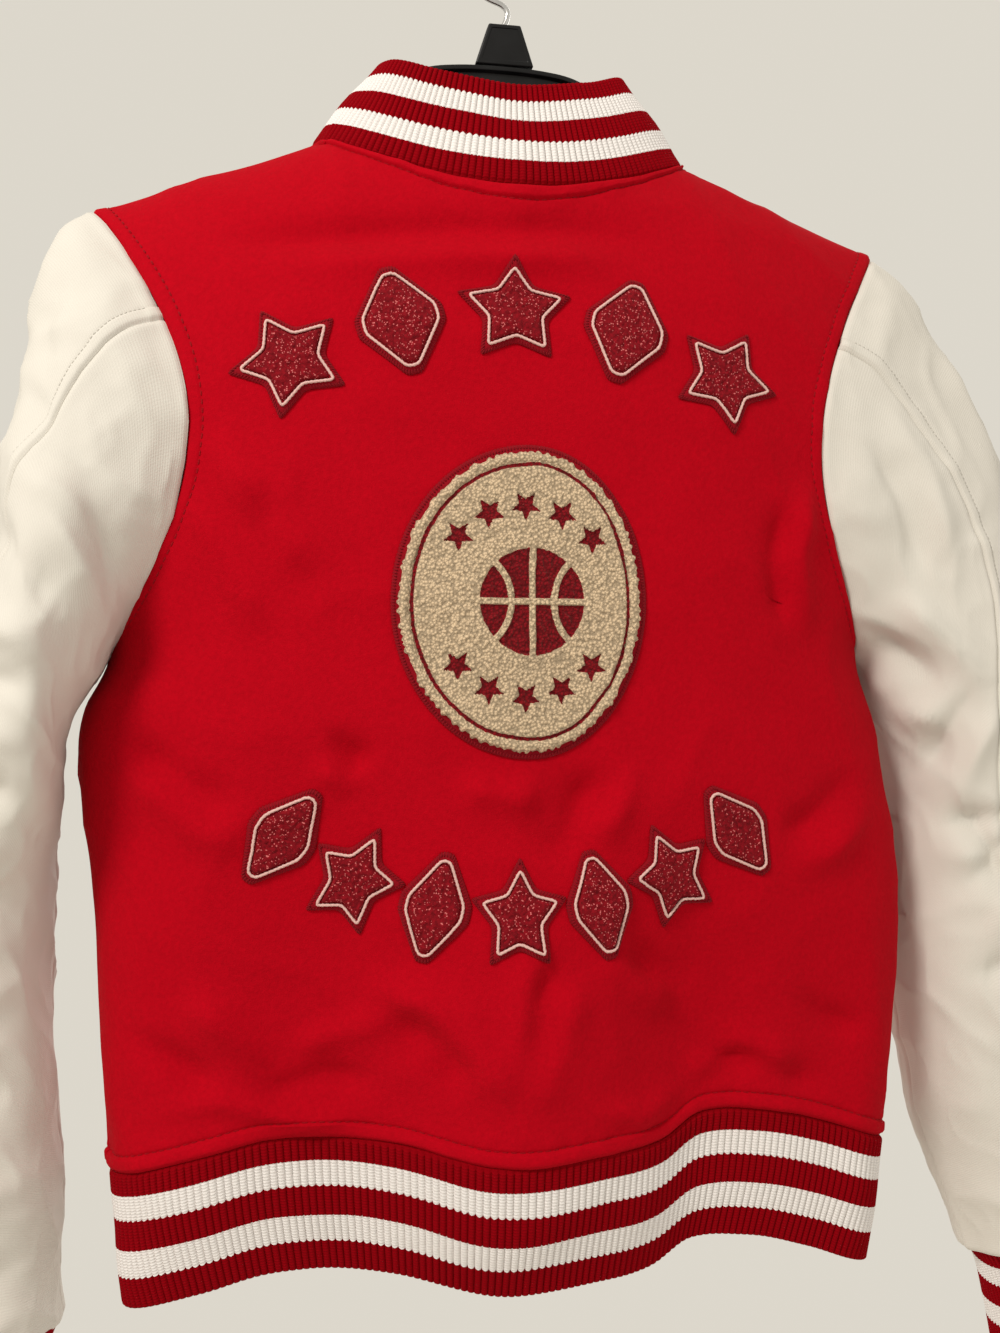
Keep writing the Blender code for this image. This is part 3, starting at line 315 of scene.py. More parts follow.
# ---------------------------------------------------------------- sewing
# places near a sewn edge, close together so that the sunk seam and its band show
EDGE_STOPS = np.array((0.0, 0.7, 1.5, 2.6, 4.2, 5.8, 6.8, 7.4, 8.0, 8.7, 9.8, 12.0))
STITCH_STOP = 8          # the stop on which a topstitch lies
SEAM_DIP = 0.3           # depth of a seam's own line
SEAM_PUFF = 0.8          # rise of the cloth beside a seam
SEAM_BAND = 1.25         # rise of the band that a seam's allowance makes
BAND_WIDTH = 7.9
ARMHOLE_BAND = 0.3       # share of the band that shows along an armhole
SLEEVE_BAND = 0.5        # share of the band that shows along a sleeve's back seam
STITCH_PLACE = 8.0       # from a seam to its topstitch
STITCH_DIP = 0.75        # depth of the line that a topstitch pulls in
PUCKER = 0.9             # rise of the gathers along a sewn band
PUCKER_PLACE = 9.0
PUCKER_WIDTH = 7.0
PUCKER_SIZE = 7.5
STITCH_LIFT = 0.15       # a thread's middle lies this much over the cloth
RED_GAP = 1.5            # between two stitches
RED_THREAD = 0.40        # radius
CREAM_SHARE = 0.6        # the sleeves' stitches are this much shorter
CREAM_GAP = 0.9
CREAM_THREAD = 0.42

RIB_SEGMENTS = 6         # columns of points in one rib
RIB_GROOVE = 0.35        # depth of the grooves
RIB_SINK = 0.8           # how far a rib piece draws in at its seam
RIB_TIP = 0.08           # half of its thickness where its fold turns back
RIB_WAVE = 1.4
RIB_WAVE_SIZE = 30.0
RIB_FREE_STOPS = np.array((3.4, 2.3, 1.5, 0.9, 0.45, 0.15, 0.0))
RIB_SEAM_STOPS = np.array((0.0, 0.7, 1.6, 2.8))

# shares of the rib's height that its stripes take, from the seam on; the first one is red
HEM_STRIPES = (0.160, 0.185, 0.215, 0.200)
COLLAR_STRIPES = (0.21, 0.195, 0.205, 0.20)
CUFF_STRIPES = (0.180, 0.185, 0.205, 0.195)
STRIPE_INSET = 0.4       # a white stripe starts and ends this much inside its share
STRIPE_BULGE = 0.32      # and bulges by this share of the way from a groove to its rib's crest

# ---------------------------------------------------------------- patches and trim
Arc = namedtuple("Arc", "name middle_x middle_z radius step shapes")
ARCS = (
    Arc("upper", -5.0, -234.5, 218.0, 14.5, ("star", "lozenge", "star", "lozenge", "star")),
    Arc("lower", -3.0, -520.5, -178.0, 12.7,
        ("lozenge", "star", "lozenge", "star", "lozenge", "star", "lozenge")),
)
PATCH_HEIGHT = 53.0
STAR_WIDTH = {"upper": 56.0, "lower": 46.0}
LOZENGE_WIDTH = {"upper": 42.0, "lower": 33.0}
PATCH_FELT = 1.3
PATCH_PILE = 2.6
PATCH_MARGIN = 3.2
FELT_TOP = LAYER_GAP + PATCH_FELT
FELT_EDGE = 0.45         # share of a felt's thickness that is left at its edge
FELT_ROUND = 1.2         # width over which its edge is rounded
PILE_SINK = 0.3          # how far a pile reaches into its felt
PILE_ROUND = 2.6         # width over which a pile's edge is rounded
TUFT_SIZE = 2.5
TUFT_RISE = 0.9
CORD_RADIUS = 0.68
CORD_TWIST = 2.2
CORD_OUT = 0.4           # the cord's middle lies this much outside the margin
PILE_IN = 0.7            # and the pile starts this much inside it
OVERLOCK_STEP = 1.5
OVERLOCK_REACH = 1.9     # how far the thread reaches in over the felt
OVERLOCK_OUT = 0.25
OVERLOCK_THREAD = 0.42
BADGE_X = 2.0
BADGE_Z = -373.0
BADGE_LEFT = 66.0
BADGE_RIGHT = 56.0
BADGE_TALL = 74.0
BADGE_CORD = 5.2         # width of the raised edge inside the felt margin
BADGE_LINE = 1.9         # width of the red line inside that edge
BADGE_RAGGED = 1.6       # how far the loops of the edge stand out of line
RAGGED_SIZE = 2.6        # and how large they are
RAGGED_POWER = 20        # a high power keeps the raggedness by the edge
LOOP_SIZE = 2.1          # size of the badge's loops
ROPE_UNEVEN = 0.7        # rise of the loops on the badge's edge
BALL_RADIUS = 25.0
BALL_SEAM = 1.5          # half width of the ball's seams
BADGE_STARS = 5          # stars over the ball, and as many under it
STARS_STEP = 24.0        # angle from one of them to the next
STARS_REACH = (43.0, 45.0)
STARS_SHIFT = -3.0
STARS_RADIUS = 7.6
SOFT_EDGE = 0.8          # width over which a figure turns from cream to red

SNAP_RADIUS = 7.5
SNAP_DISC = 1.4
SNAP_STEPS = ((1.1, 0.0), (0.35, -0.45), (0.5, 0.9), (1.8, 0.75), (2.0, 0.3))    # width and rise
SNAP_HEIGHTS = (-250.0, -326.0, -402.0, -478.0, -554.0, -618.0)

HANGER_WEB = 3.0
HANGER_FLANGE = 8.0
HANGER_FLANGE_THICK = 2.4
HANGER_FILLET = 0.8
HANGER_DEPTH = 13.0
HANGER_BELOW_SEAM = 5.4
HANGER_MIDDLE = ((0.0, -88.0), (22.0, -88.8), (40.0, -92.0), (56.0, -101.0), (71.0, -117.0),
                 (83.0, -136.5), (95.0, -149.5))
HANGER_ARM_XS = (115.0, 135.0, 155.0, 175.0, 192.0)
BLOCK_TOP_HALF = 8.4
BLOCK_LOW_HALF = 15.4
BLOCK_X = 2.4
BLOCK_TOP_Z = -65.8
BLOCK_LOW_Z = -87.4
BLOCK_THICK = 9.0
WIRE_RADIUS = 1.5
HOOK_RADIUS = 21.5
HOOK_ARC_END = -18.0
HOOK_STEPS = 24
HOOK_ROUTE = ((2.6, -65.2), (4.2, -61.0), (4.4, -57.0), (1.4, -53.8), (-7.0, -50.4), (-13.5, -44.5),
              (-18.6, -36.0), (-21.0, -28.0))

CAMERA_PLACE = (-0.1427, -0.7607, -0.428)
CAMERA_TURN = (math.radians(92.0), 0.0, math.radians(-10.67))
CAMERA_LENS = 40.5
CAMERA_SENSOR = 36.0

FLOOR_SIZE = 2.2
FLOOR_Z = -1.35
FLOOR_COLOUR = (0.66, 0.62, 0.56)
SKY_COLOUR = (0.90, 0.85, 0.75, 1.0)
SKY_STRENGTH = 0.80
LAMP_AIM = (0.0, 0.0, -0.4)
Lamp = namedtuple("Lamp", "name place size power colour")
LAMPS = (
    Lamp("key_light", (-1.3, -1.3, 0.95), 0.6, 36.0, (1.0, 0.95, 0.88)),
    Lamp("fill_light", (1.8, -1.4, -0.2), 2.0, 3.0, (1.0, 0.98, 0.95)),
    Lamp("front_light", (0.9, 1.9, 0.5), 1.6, 22.0, (1.0, 0.97, 0.93)),
)


# ---------------------------------------------------------------- small mathematics
def smooth(value):
    """Ease from 0 to 1."""
    value = min(max(value, 0.0), 1.0)
    return value * value * (3.0 - 2.0 * value)


def ease(values):
    """Ease from 0 to 1, for arrays."""
    values = np.clip(values, 0.0, 1.0)
    return values * values * (3.0 - 2.0 * values)


@lru_cache(maxsize=None)
def table_columns(table, key, column):
    rows = sorted(table, key=lambda row: getattr(row, key))
    return [getattr(row, key) for row in rows], [getattr(row, column) for row in rows]


def read(table, key, at, column):
    """Read one column of a table at a key, on a smooth curve through its rows."""
    keys, values = table_columns(table, key, column)
    if at <= keys[0]:
        return values[0]
    if at >= keys[-1]:
        return values[-1]
    i = max(k for k in range(len(keys) - 1) if keys[k] <= at)
    span = keys[i + 1] - keys[i]
    f = (at - keys[i]) / span

    def slope(k):
        low = max(k - 1, 0)
        high = min(k + 1, len(keys) - 1)
        return (values[high] - values[low]) / (keys[high] - keys[low])

    start = slope(i) * span
    end = slope(i + 1) * span
    return ((2 * f**3 - 3 * f**2 + 1) * values[i] + (f**3 - 2 * f**2 + f) * start
            + (3 * f**2 - 2 * f**3) * values[i + 1] + (f**3 - f**2) * end)


def power_sin(turn, power):
    """Sine of an angle in degrees, raised to 2 / power with its sign kept."""
    value = math.sin(math.radians(turn))
    return math.copysign(abs(value) ** (2.0 / power), value)


def spread(stations):
    """Divide each step between stations into even parts."""
    fine = []
    for low, high in zip(stations, stations[1:]):
        fine += [low + (high - low) * i / SPREAD for i in range(SPREAD)]
    return tuple(fine) + (stations[-1],)


def between(rows, at):
    """Smooth curve through evenly numbered rows, read at fractional row numbers."""
    rows = np.asarray(rows, float)
    last = len(rows) - 1
    at = np.clip(np.asarray(at, float), 0.0, last)
    i = np.minimum(at.astype(int), last - 1)
    shape = (-1,) + (1,) * (rows.ndim - 1)
    f = (at - i).reshape(shape)
    before = np.maximum(i - 1, 0)
    after = np.minimum(i + 2, last)
    start = (rows[i + 1] - rows[before]) / (i + 1 - before).reshape(shape)
    end = (rows[after] - rows[i]) / (after - i).reshape(shape)
    return ((2 * f**3 - 3 * f**2 + 1) * rows[i] + (f**3 - 2 * f**2 + f) * start
            + (3 * f**2 - 2 * f**3) * rows[i + 1] + (f**3 - f**2) * end)


def run_along(points):
    """Length along a line of points, from its start."""
    steps = np.linalg.norm(np.diff(points, axis=0), axis=1)
    return np.concatenate(([0.0], np.cumsum(steps)))


def unit(vectors):
    length = np.linalg.norm(vectors, axis=-1, keepdims=True)
    return vectors / np.maximum(length, 1e-9)


# ---------------------------------------------------------------- the body's form
def shoulder_line(x):
    slope = (NECK_POINT_Z - SHOULDER_TIP_Z) / (SHOULDER_TIP_X - NECK_POINT_X)
    return NECK_POINT_Z - (abs(x) - NECK_POINT_X) * slope


def fold_rise(folds, x, z):
    total = 0.0
    for fold in folds:
        run_x = fold.foot_x - fold.top_x
        run_z = fold.foot_z - fold.top_z
        length = math.hypot(run_x, run_z)
        along = ((x - fold.top_x) * run_x + (z - fold.top_z) * run_z) / length**2
        aside = ((x - fold.top_x) * run_z - (z - fold.top_z) * run_x) / length
        if fold.at_hem:
            taper = smooth(along / 0.75)
        else:
            taper = smooth(along / 0.4) * smooth((1.0 - along) / 0.4)
        total += fold.out * taper * math.exp(-(aside / fold.width) ** 2)
    return total


def body_y(face, x, z):
    """Depth of the body's cloth; face is -1 for the back and 1 for the front."""
    left = read(BODY_SECTIONS, "z", z, "left")
    right = read(BODY_SECTIONS, "z", z, "right")
    depth = read(BODY_SECTIONS, "z", z, "back" if face < 0 else "front")
    across = min(abs((x - (right - left) / 2.0) / ((right + left) / 2.0)), 1.0)
    below = min(max((shoulder_line(x) - z) / SHOULDER_ROUND, 0.0), 1.0)
    section = (1.0 - across**SECTION_POWER) ** (1.0 / SECTION_POWER)
    rounding = (1.0 - (1.0 - below) ** SHOULDER_POWER) ** (1.0 / SHOULDER_POWER)
    folds = BACK_FOLDS if face < 0 else FRONT_FOLDS
    window = smooth((1.0 - across) / 0.2)
    return face * (depth * section * rounding + fold_rise(folds, x, z) * window)


@lru_cache(maxsize=None)
def armhole_place(side, turn):
    face = -1.0 if turn <= 180.0 else 1.0
    dip = ARMHOLE_DIP_BACK if face < 0 else ARMHOLE_DIP_FRONT
    down = (1.0 - math.cos(math.radians(turn))) / 2.0
    z = SHOULDER_TIP_Z + (UNDERARM_Z - SHOULDER_TIP_Z) * down
    under_x = read(BODY_SECTIONS, "z", UNDERARM_Z, "left" if side < 0 else "right")
    x = SHOULDER_TIP_X + (under_x - SHOULDER_TIP_X) * down
    x -= dip * abs(math.sin(math.pi * down)) ** 0.95
    return side * x, body_y(face, side * x, z), z


def armhole(side, turn):
    """A point of the armhole seam; side is -1 for the wearer's left."""
    return Vector(armhole_place(side, turn))


def neckline(face, x):
    drop = BACK_NECK_DROP if face < 0 else FRONT_NECK_DROP
    reach = min(abs(x) / NECK_POINT_X, 1.0)
    sag = 1.0 - reach**2 if face < 0 else (1.0 - reach**2.2) ** 0.7
    z = NECK_POINT_Z - drop * sag
    return Vector((x, body_y(face, x, z), z))


def hem_point(face, x):
    z = read(HEM_LINE, "x", x, "back_z" if face < 0 else "front_z")
    return Vector((x, body_y(face, x, z), z))


def side_edge(side, face):
    """Armhole, then side seam, from the shoulder tip down to the hem."""
    stations = spread(ARM_TOP_BACK + ARM_UNDER[1:] if face < 0 else tuple(reversed(ARM_FRONT)))
    points = [armhole(side, turn) for turn in stations]
    column = "left" if side < 0 else "right"
    foot = hem_point(face, side * read(BODY_SECTIONS, "z", SIDE_FOOT_Z, column))
    rows = SIDE_ROWS * SPREAD
    for row in range(1, rows + 1):
        z = UNDERARM_Z + (foot.z - UNDERARM_Z) * row / rows
        points.append(Vector((side * read(BODY_SECTIONS, "z", z, column), 0.0, z)))
    return points


def panel_turns():
    """Turns of the panel's columns across, from the wearer's left to the right."""
    half = spread(SHOULDER_TURNS + NECK_TURNS[1:])[:-1]
    return [-turn for turn in half] + [0.0] + list(reversed(half))


def top_point(face, turn):
    """The panel's upper edge: shoulder seams and neckline."""
    side = -1.0 if turn < 0 else 1.0
    if abs(turn) >= NECK_TURNS[0]:
        start = abs(power_sin(NECK_TURNS[0], SECTION_POWER))
        along = (abs(power_sin(turn, SECTION_POWER)) - start) / (1.0 - start)
        x = NECK_POINT_X + (SHOULDER_TIP_X - NECK_POINT_X) * along
        return Vector((side * x, 0.0, shoulder_line(x)))
    reach = power_sin(turn, SECTION_POWER) / power_sin(NECK_TURNS[0], SECTION_POWER)
    return neckline(face, NECK_POINT_X * reach)


def body_grid(face):
    """All points of the back (face -1) or of both fronts (face 1), edge to edge."""
    left = side_edge(-1, face)
    right = side_edge(1, face)
    turns = panel_turns()
    last = len(left) - 1
    tops = [top_point(face, turn) for turn in turns]
    shares = [(power_sin(turn, SECTION_POWER) + 1.0) / 2.0 for turn in turns]
    lows = [hem_point(face, left[last].x + (right[last].x - left[last].x) * share) for share in shares]
    drop = left[0].z - (left[last].z + right[last].z) / 2
    grid = [tops]
    for r in range(1, last + 1):
        down = (left[0].z - (left[r].z + right[r].z) / 2) / drop
        row = [left[r].copy()]
        for top, share, low in list(zip(tops, shares, lows))[1:-1]:
            point = top * (1 - down) + low * down + left[r] * (1 - share) + right[r] * share
            point -= (left[0] * (1 - share) + right[0] * share) * (1 - down)
            point -= (left[last] * (1 - share) + right[last] * share) * down
            point.y = body_y(face, point.x, point.z)
            row.append(point)
        grid.append(row + [right[r].copy()])
    return grid


def lap_rise(x):
    """How far the right front stands out over the left one."""
    return (RIB_CLOTH + LAYER_GAP) * smooth((LAP_FULL + LAP_RAMP - x) / LAP_RAMP)


def front_grids(grid):
    """Split the front at its centre into a left front below and a right front above."""
    middle = len(grid[0]) // 2
    left_rows = []
    right_rows = []
    for row in grid:
        z = row[middle].z
        lap = [Vector((side * FRONT_LAP, body_y(1, side * FRONT_LAP, z), z)) for side in (-1, 1)]
        left_rows.append([point.copy() for point in row[:middle + 1]] + [lap[1]])
        right_rows.append([lap[0]] + [point.copy() for point in row[middle:]])
    for row in right_rows:
        for point in row:
            point.y += lap_rise(point.x)
    return left_rows, right_rows


# ---------------------------------------------------------------- sleeves
def sleeve_point(row, first, side, turn):
    """One point of a sleeve's ring; turn is the armhole station."""
    seam = row.seam
    if turn <= BACK_SEAM_TURN:
        angle = turn * seam / BACK_SEAM_TURN
    elif turn <= 180.0:
        angle = seam + (turn - BACK_SEAM_TURN) * (180.0 - seam) / (180.0 - BACK_SEAM_TURN)
    else:
        angle = turn
    share = (1.0 + math.cos(math.radians(turn))) / 2.0
    moved_x = (row.top_x - first.top_x) * share + (row.under_x - first.under_x) * (1.0 - share)
    moved_z = (row.top_z - first.top_z) * share + (row.under_z - first.under_z) * (1.0 - share)
    moved = Vector((side * moved_x, row.mid_y, moved_z))
    top = Vector((side * row.top_x, row.mid_y, row.top_z))
    under = Vector((side * row.under_x, row.mid_y, row.under_z))
    outward = (top - under) / 2.0
    deep = power_sin(angle, SHOULDER_POWER)
    wide = power_sin(90.0 + angle, SHOULDER_POWER)
    depth = row.back if deep > 0 else row.front
    tube = (top + under) / 2.0 + outward * wide - outward.normalized() * (row.lean * deep)
    tube += Vector((0, -depth * deep, 0))
    return (armhole(side, turn) + moved) * (1.0 - row.blend) + tube * row.blend


def sleeve_grids(table, side):
    """Rows run down the sleeve; the top piece goes from the underarm over the front to the seam."""
    rings = between(table, np.linspace(0, len(table) - 1, (len(table) - 1) * SPREAD + 1))
    rings[:, -1] = np.clip(rings[:, -1], 0.0, 1.0)
    rings = [Sleeve(*values) for values in rings]
    turns = spread(ARM_FRONT) + tuple(360.0 + turn for turn in spread(ARM_TOP_BACK)[1:])
    turns = [turn - 360.0 if turn > 360.0 else turn for turn in turns]
    under = [[sleeve_point(ring, rings[0], side, turn) for turn in spread(ARM_UNDER)] for ring in rings]
    top = [[sleeve_point(ring, rings[0], side, turn) for turn in turns] for ring in rings]
    return top, under


# ---------------------------------------------------------------- ribs
def hem_grid(back, left_front, right_front):
    """The hem rib: from the left front's edge round the back to the right front's edge."""
    right_seam = list(reversed(right_front[-1]))
    seam = list(reversed(left_front[-1])) + back[-1][1:-1] + right_seam
    rows = []
    for step in HEM_RIB:
        row = []
        for i, point in enumerate(seam):
            lap = lap_rise(point.x) if i >= len(seam) - len(right_seam) else 0.0
            row.append(Vector((point.x * step.wide, (point.y - lap) * step.deep + lap,
                               point.z - HEM_RIB_HEIGHT * step.down)))
        rows.append(row)
    return rows


def collar_grid(back, left_front, right_front):
    """The collar: from the front centre round the back to the front centre, seam to upper edge."""
    middle = len(back[0]) // 2
    neck = (len(NECK_TURNS) - 1) * SPREAD
    left = left_front[0][middle - neck:middle + 1]
    right = right_front[0][1:neck + 2]
    seam = list(reversed(left)) + back[0][middle - neck + 1:middle + neck] + list(reversed(right))
    rows = [seam, [], []]
    half = (len(seam) - 1) / 2.0
    for i, point in enumerate(seam):
        turn = 180.0 * (1.0 - abs(i - half) / half)
        side = -1.0 if i < half else 1.0
        x, y, z = (read(COLLAR_TOP, "turn", turn, column) for column in "xyz")
        edge = Vector((side * x, y, z))
        if i > half:
            edge.y += lap_rise(edge.x) * smooth((90.0 - turn) / 60.0)
        rows[1].append(point.lerp(edge, 0.5) + Vector((point.x, point.y, 0.0)).normalized() * 1.5)
        rows[2].append(edge)
    return rows


def cuff_grid(table, top, under, side):
    """The cuff rib: a closed ring that starts and ends at the underarm seam."""
    seam = top[-1][:-1] + under[-1][:-1]
    centre = sum(seam, Vector()) / len(seam)
    rows = [seam]
    for step in table:
        shift = Vector((side * step.drop_x, 0.0, step.drop_z))
        rows.append([centre + (point - centre) * step.squeeze + shift for point in seam])
    return rows


@lru_cache(maxsize=None)
def garment():
    """Every cut piece's grid of points, by its name."""
    back = body_grid(-1)
    left_front, right_front = front_grids(body_grid(1))
    left_top, left_under = sleeve_grids(SLEEVE_LEFT, -1)
    right_top, right_under = sleeve_grids(SLEEVE_RIGHT, 1)
    grids = {
        "back": back,
        "front_left": left_front,
        "front_right": right_front,
        "sleeve_left_top": left_top,
        "sleeve_left_under": left_under,
        "sleeve_right_top": right_top,
        "sleeve_right_under": right_under,
        "hem_rib": hem_grid(back, left_front, right_front),
        "collar": collar_grid(back, left_front, right_front),
        "cuff_left": cuff_grid(CUFF_LEFT, left_top, left_under, -1),
        "cuff_right": cuff_grid(CUFF_RIGHT, right_top, right_under, 1),
    }
    return {name: np.array(grid, dtype=float) for name, grid in grids.items()}


# ---------------------------------------------------------------- laying out the points
def panel_stops(length, count):
    """Places along a line: close together by both sewn edges and even between them."""
    end = length - EDGE_STOPS[::-1]
    return np.concatenate((EDGE_STOPS, np.linspace(EDGE_STOPS[-1], end[0], count)[1:-1], end))


def respace(lines, stops):
    """Lay each line of points out anew; stops gives the places along a line of some length."""
    laid = []
    for line in lines:
        run = run_along(line)
        laid.append(between(line, np.interp(stops(run[-1]), run, np.arange(len(line)))))
    return np.array(laid)


def lay_out(grid, across, down):
    rows = respace(grid, across)
    return respace(rows.transpose(1, 0, 2), down).transpose(1, 0, 2)


def grid_normals(points, flip, closed=False):
    """Normals of a grid, pointing out of the garment."""
    if closed:
        padded = np.concatenate((points[:, -1:], points, points[:, :1]), axis=1)
        along_row = np.gradient(padded, axis=1)[:, 1:-1]
    else:
        along_row = np.gradient(points, axis=1)
    normals = unit(np.cross(along_row, np.gradient(points, axis=0)))
    return -normals if flip else normals


def crease_rise(creases, points):
    """Rise of the creases at every point, by its place in X and Z."""
    total = np.zeros(points.shape[:-1])
    x = points[..., 0]
    z = points[..., 2]
    for number, crease in enumerate(creases):
        line = np.array(crease.line, float)
        lengths = np.linalg.norm(np.diff(line, axis=0), axis=1)
        whole = lengths.sum()
        nearest = np.full(total.shape, 1e9)
        place = np.zeros(total.shape)
        passed = 0.0
        for start, end, length in zip(line, line[1:], lengths):
            step = (end - start) / length
            raw = (x - start[0]) * step[0] + (z - start[1]) * step[1]
            along = np.clip(raw, 0.0, length)
            gap = np.hypot(x - start[0] - step[0] * along, z - start[1] - step[1] * along)
            place = np.where(gap < nearest, (passed + along) / whole, place)
            nearest = np.minimum(nearest, gap)
            passed += length
        taper = ease(place / 0.35) * ease((1.0 - place) / 0.35)
        uneven = 1.0 + 0.25 * np.sin(place * 9.0 + number * 1.7)
        width = crease.width * (0.8 + 0.35 * place)
        total += CREASE_DEPTH * crease.out * taper * uneven * np.exp(-np.abs(nearest / width) ** 1.7)
    return total


def unevenness(points, size, rise, seed):
    """A slow uneven rise, as cloth that has been worn and hung has."""
    flat = points.reshape(-1, 3) / size
    values = [noise.noise(Vector((x + seed, y, z))) for x, y, z in flat]
    return rise * np.array(values).reshape(points.shape[:-1])


def crumple(points, size, rise, seed):
    """Soft ridges that wander and meet, as in cloth that has been bent many times."""
    slanted = points.reshape(-1, 3) / size
    values = [noise.noise(Vector((x + seed, y + 0.4 * x, z + 0.5 * x))) for x, y, z in slanted]
    sharp = np.clip(1.0 - np.abs(values) * 2.6, 0.0, 1.0) ** 2
    return rise * sharp.reshape(points.shape[:-1])


def edge_distance(count):
    """For each stop its distance from the near edge and from the far one."""
    low = np.full(count, 1e3)
    low[:len(EDGE_STOPS)] = EDGE_STOPS
    return low, low[::-1].copy()


def seam_profile(distance, band):
    """The sunk seam, and beside it the raised band that its allowance makes, up to the topstitch."""
    dip = -SEAM_DIP * np.exp(-(distance / 1.1) ** 2)
    puff = SEAM_PUFF * ease(distance / 2.6) * np.exp(-(distance / 8.0) ** 2)
    raised = SEAM_BAND * ease((distance - 0.2) / 1.8) * ease((BAND_WIDTH - distance) / 1.3)
    stitched = -STITCH_DIP * np.exp(-((distance - STITCH_PLACE) / 0.7) ** 2)
    return dip + puff + band * (raised + stitched)


# ---------------------------------------------------------------- meshes
def mesh_object(name, points, faces, surface, uvs=None, mark=None):
    """A mesh in metres from points in millimetres; uvs are per corner and mark is per point."""
    mesh = bpy.data.meshes.new(name)
    mesh.from_pydata((np.asarray(points) * MM).tolist(), [], faces)
    if uvs is not None:
        layer = mesh.uv_layers.new(name="UVMap")
        layer.data.foreach_set("uv", np.asarray(uvs, np.float32).ravel())
    if mark is not None:
        layer = mesh.attributes.new("mark", "FLOAT", "POINT")
        layer.data.foreach_set("value", np.asarray(mark, np.float32).ravel())
    mesh.materials.append(surface)
    mesh.update()
    mesh.shade_smooth()
    made = bpy.data.objects.new(name, mesh)
    bpy.context.scene.collection.objects.link(made)
    return made


def wall_object(name, outer, inner, closed, flip, surface, across_uv, down_uv):
    """A closed wall from an outer and an inner grid. across_uv has one value more if it is closed."""
    high, wide = outer.shape[:2]
    number = np.arange(high * wide).reshape(high, wide)
    if closed:
        number = np.concatenate((number, number[:, :1]), axis=1)
    span = number.shape[1]
    place = np.arange(high * span).reshape(high, span)
    lift = high * wide

    def quads(indices, add):
        a, b, c, d = indices[:-1, :-1], indices[:-1, 1:], indices[1:, 1:], indices[1:, :-1]
        return np.stack((a, b, c, d), axis=-1).reshape(-1, 4) + add

    faces = [quads(number, 0), quads(number, lift)[:, ::-1]]
    corners = [quads(place, 0), quads(place, 0)[:, ::-1]]

    def rim(line, spots):
        near, far = line[:-1], line[1:]
        faces.append(np.stack((near, near + lift, far + lift, far), axis=-1))
        corners.append(np.stack((spots[:-1], spots[:-1], spots[1:], spots[1:]), axis=-1))

    rim(number[0], place[0])
    rim(number[-1][::-1], place[-1][::-1])
    if not closed:
        rim(number[::-1, 0], place[::-1, 0])
        rim(number[:, -1], place[:, -1])
    faces = np.concatenate(faces)
    corners = np.concatenate(corners)
    if flip:
        faces = faces[:, ::-1]
        corners = corners[:, ::-1]
    u, v = np.meshgrid(across_uv, down_uv)
    uvs = np.stack((u.ravel(), v.ravel()), axis=-1)[corners.ravel()] * MM
    points = np.concatenate((outer.reshape(-1, 3), inner.reshape(-1, 3)))
    made = mesh_object(name, points, faces.tolist(), surface, uvs)
    made.data.set_sharp_from_angle(angle=math.radians(60))
    return made


Skin = namedtuple("Skin", "points normals")
SKINS = {}


def cloth_panel(name, node, flip, counts, bands, rise, surface):
    """One cut piece of cloth as a thin wall: its seams sunk, its creases laid in."""
    points = lay_out(
        garment()[node],
        lambda length: panel_stops(length, counts[0]),
        lambda length: panel_stops(length, counts[1]),
    )
    normals = grid_normals(points, flip)
    left, right = edge_distance(points.shape[1])
    upper, lower = edge_distance(points.shape[0])
    height = rise(points, normals)
    gathered = 0.0
    for distance, band in zip((left, right, upper[:, None], lower[:, None]), bands):
        height = height + seam_profile(distance, band(points))
        gathered = gathered + np.exp(-((distance - PUCKER_PLACE) / PUCKER_WIDTH) ** 2) * band(points)
    height = height + unevenness(points, PUCKER_SIZE, PUCKER, 3.0) * gathered
    outer = points + normals * height[..., None]
    inner = outer - normals * CLOTH
    across = run_along(points[len(points) // 2])
    down = run_along(points[:, points.shape[1] // 2])
    SKINS[name] = Skin(outer, grid_normals(outer, flip))
    return wall_object(name, outer, inner, False, flip, surface, across, down)


# how strongly the band shows along an edge, for the panel's points
def no_band(points):
    return 0.0


def full_band(points):
    return 1.0


def sleeve_band(points):
    return SLEEVE_BAND


def armhole_band(points):
    return ARMHOLE_BAND * ease((points[..., 2] - UNDERARM_Z + 4.0) / 14.0)


def neck_band(points):
    return ease((NECK_POINT_X + 3.0 - np.abs(points[..., 0])) / 6.0)


def body_rise(face, seed):
    creases = BACK_CREASES if face < 0 else FRONT_CREASES

    def rise(points, normals):
        return (BODY_CREASES * crease_rise(creases, points) + unevenness(points, 55.0, 1.6, seed)
                + unevenness(points, 19.0, 0.5, seed + 9.0) + crumple(points, 62.0, 1.1, seed + 5.0))
    return rise


def sleeve_rise(side, seed):
    def rise(points, normals):
        behind = ease((0.25 - normals[..., 1]) / 0.5)
        total = crease_rise(SLEEVE_BACK_CREASES[side], points) * behind
        total = total + crease_rise(SLEEVE_FRONT_CREASES[side], points) * (1.0 - behind)
        total = total + unevenness(points, 48.0, 2.2, seed) + unevenness(points, 17.0, 0.6, seed + 9.0)
        return total + crumple(points, 46.0, 1.6, seed + 5.0) + crumple(points, 22.0, 0.7, seed + 7.0)
    return rise


def rib_height(node):
    """Height of a rib at the middle of its length."""
    grid = garment()[node]
    return run_along(grid[:, grid.shape[1] // 2])[-1]


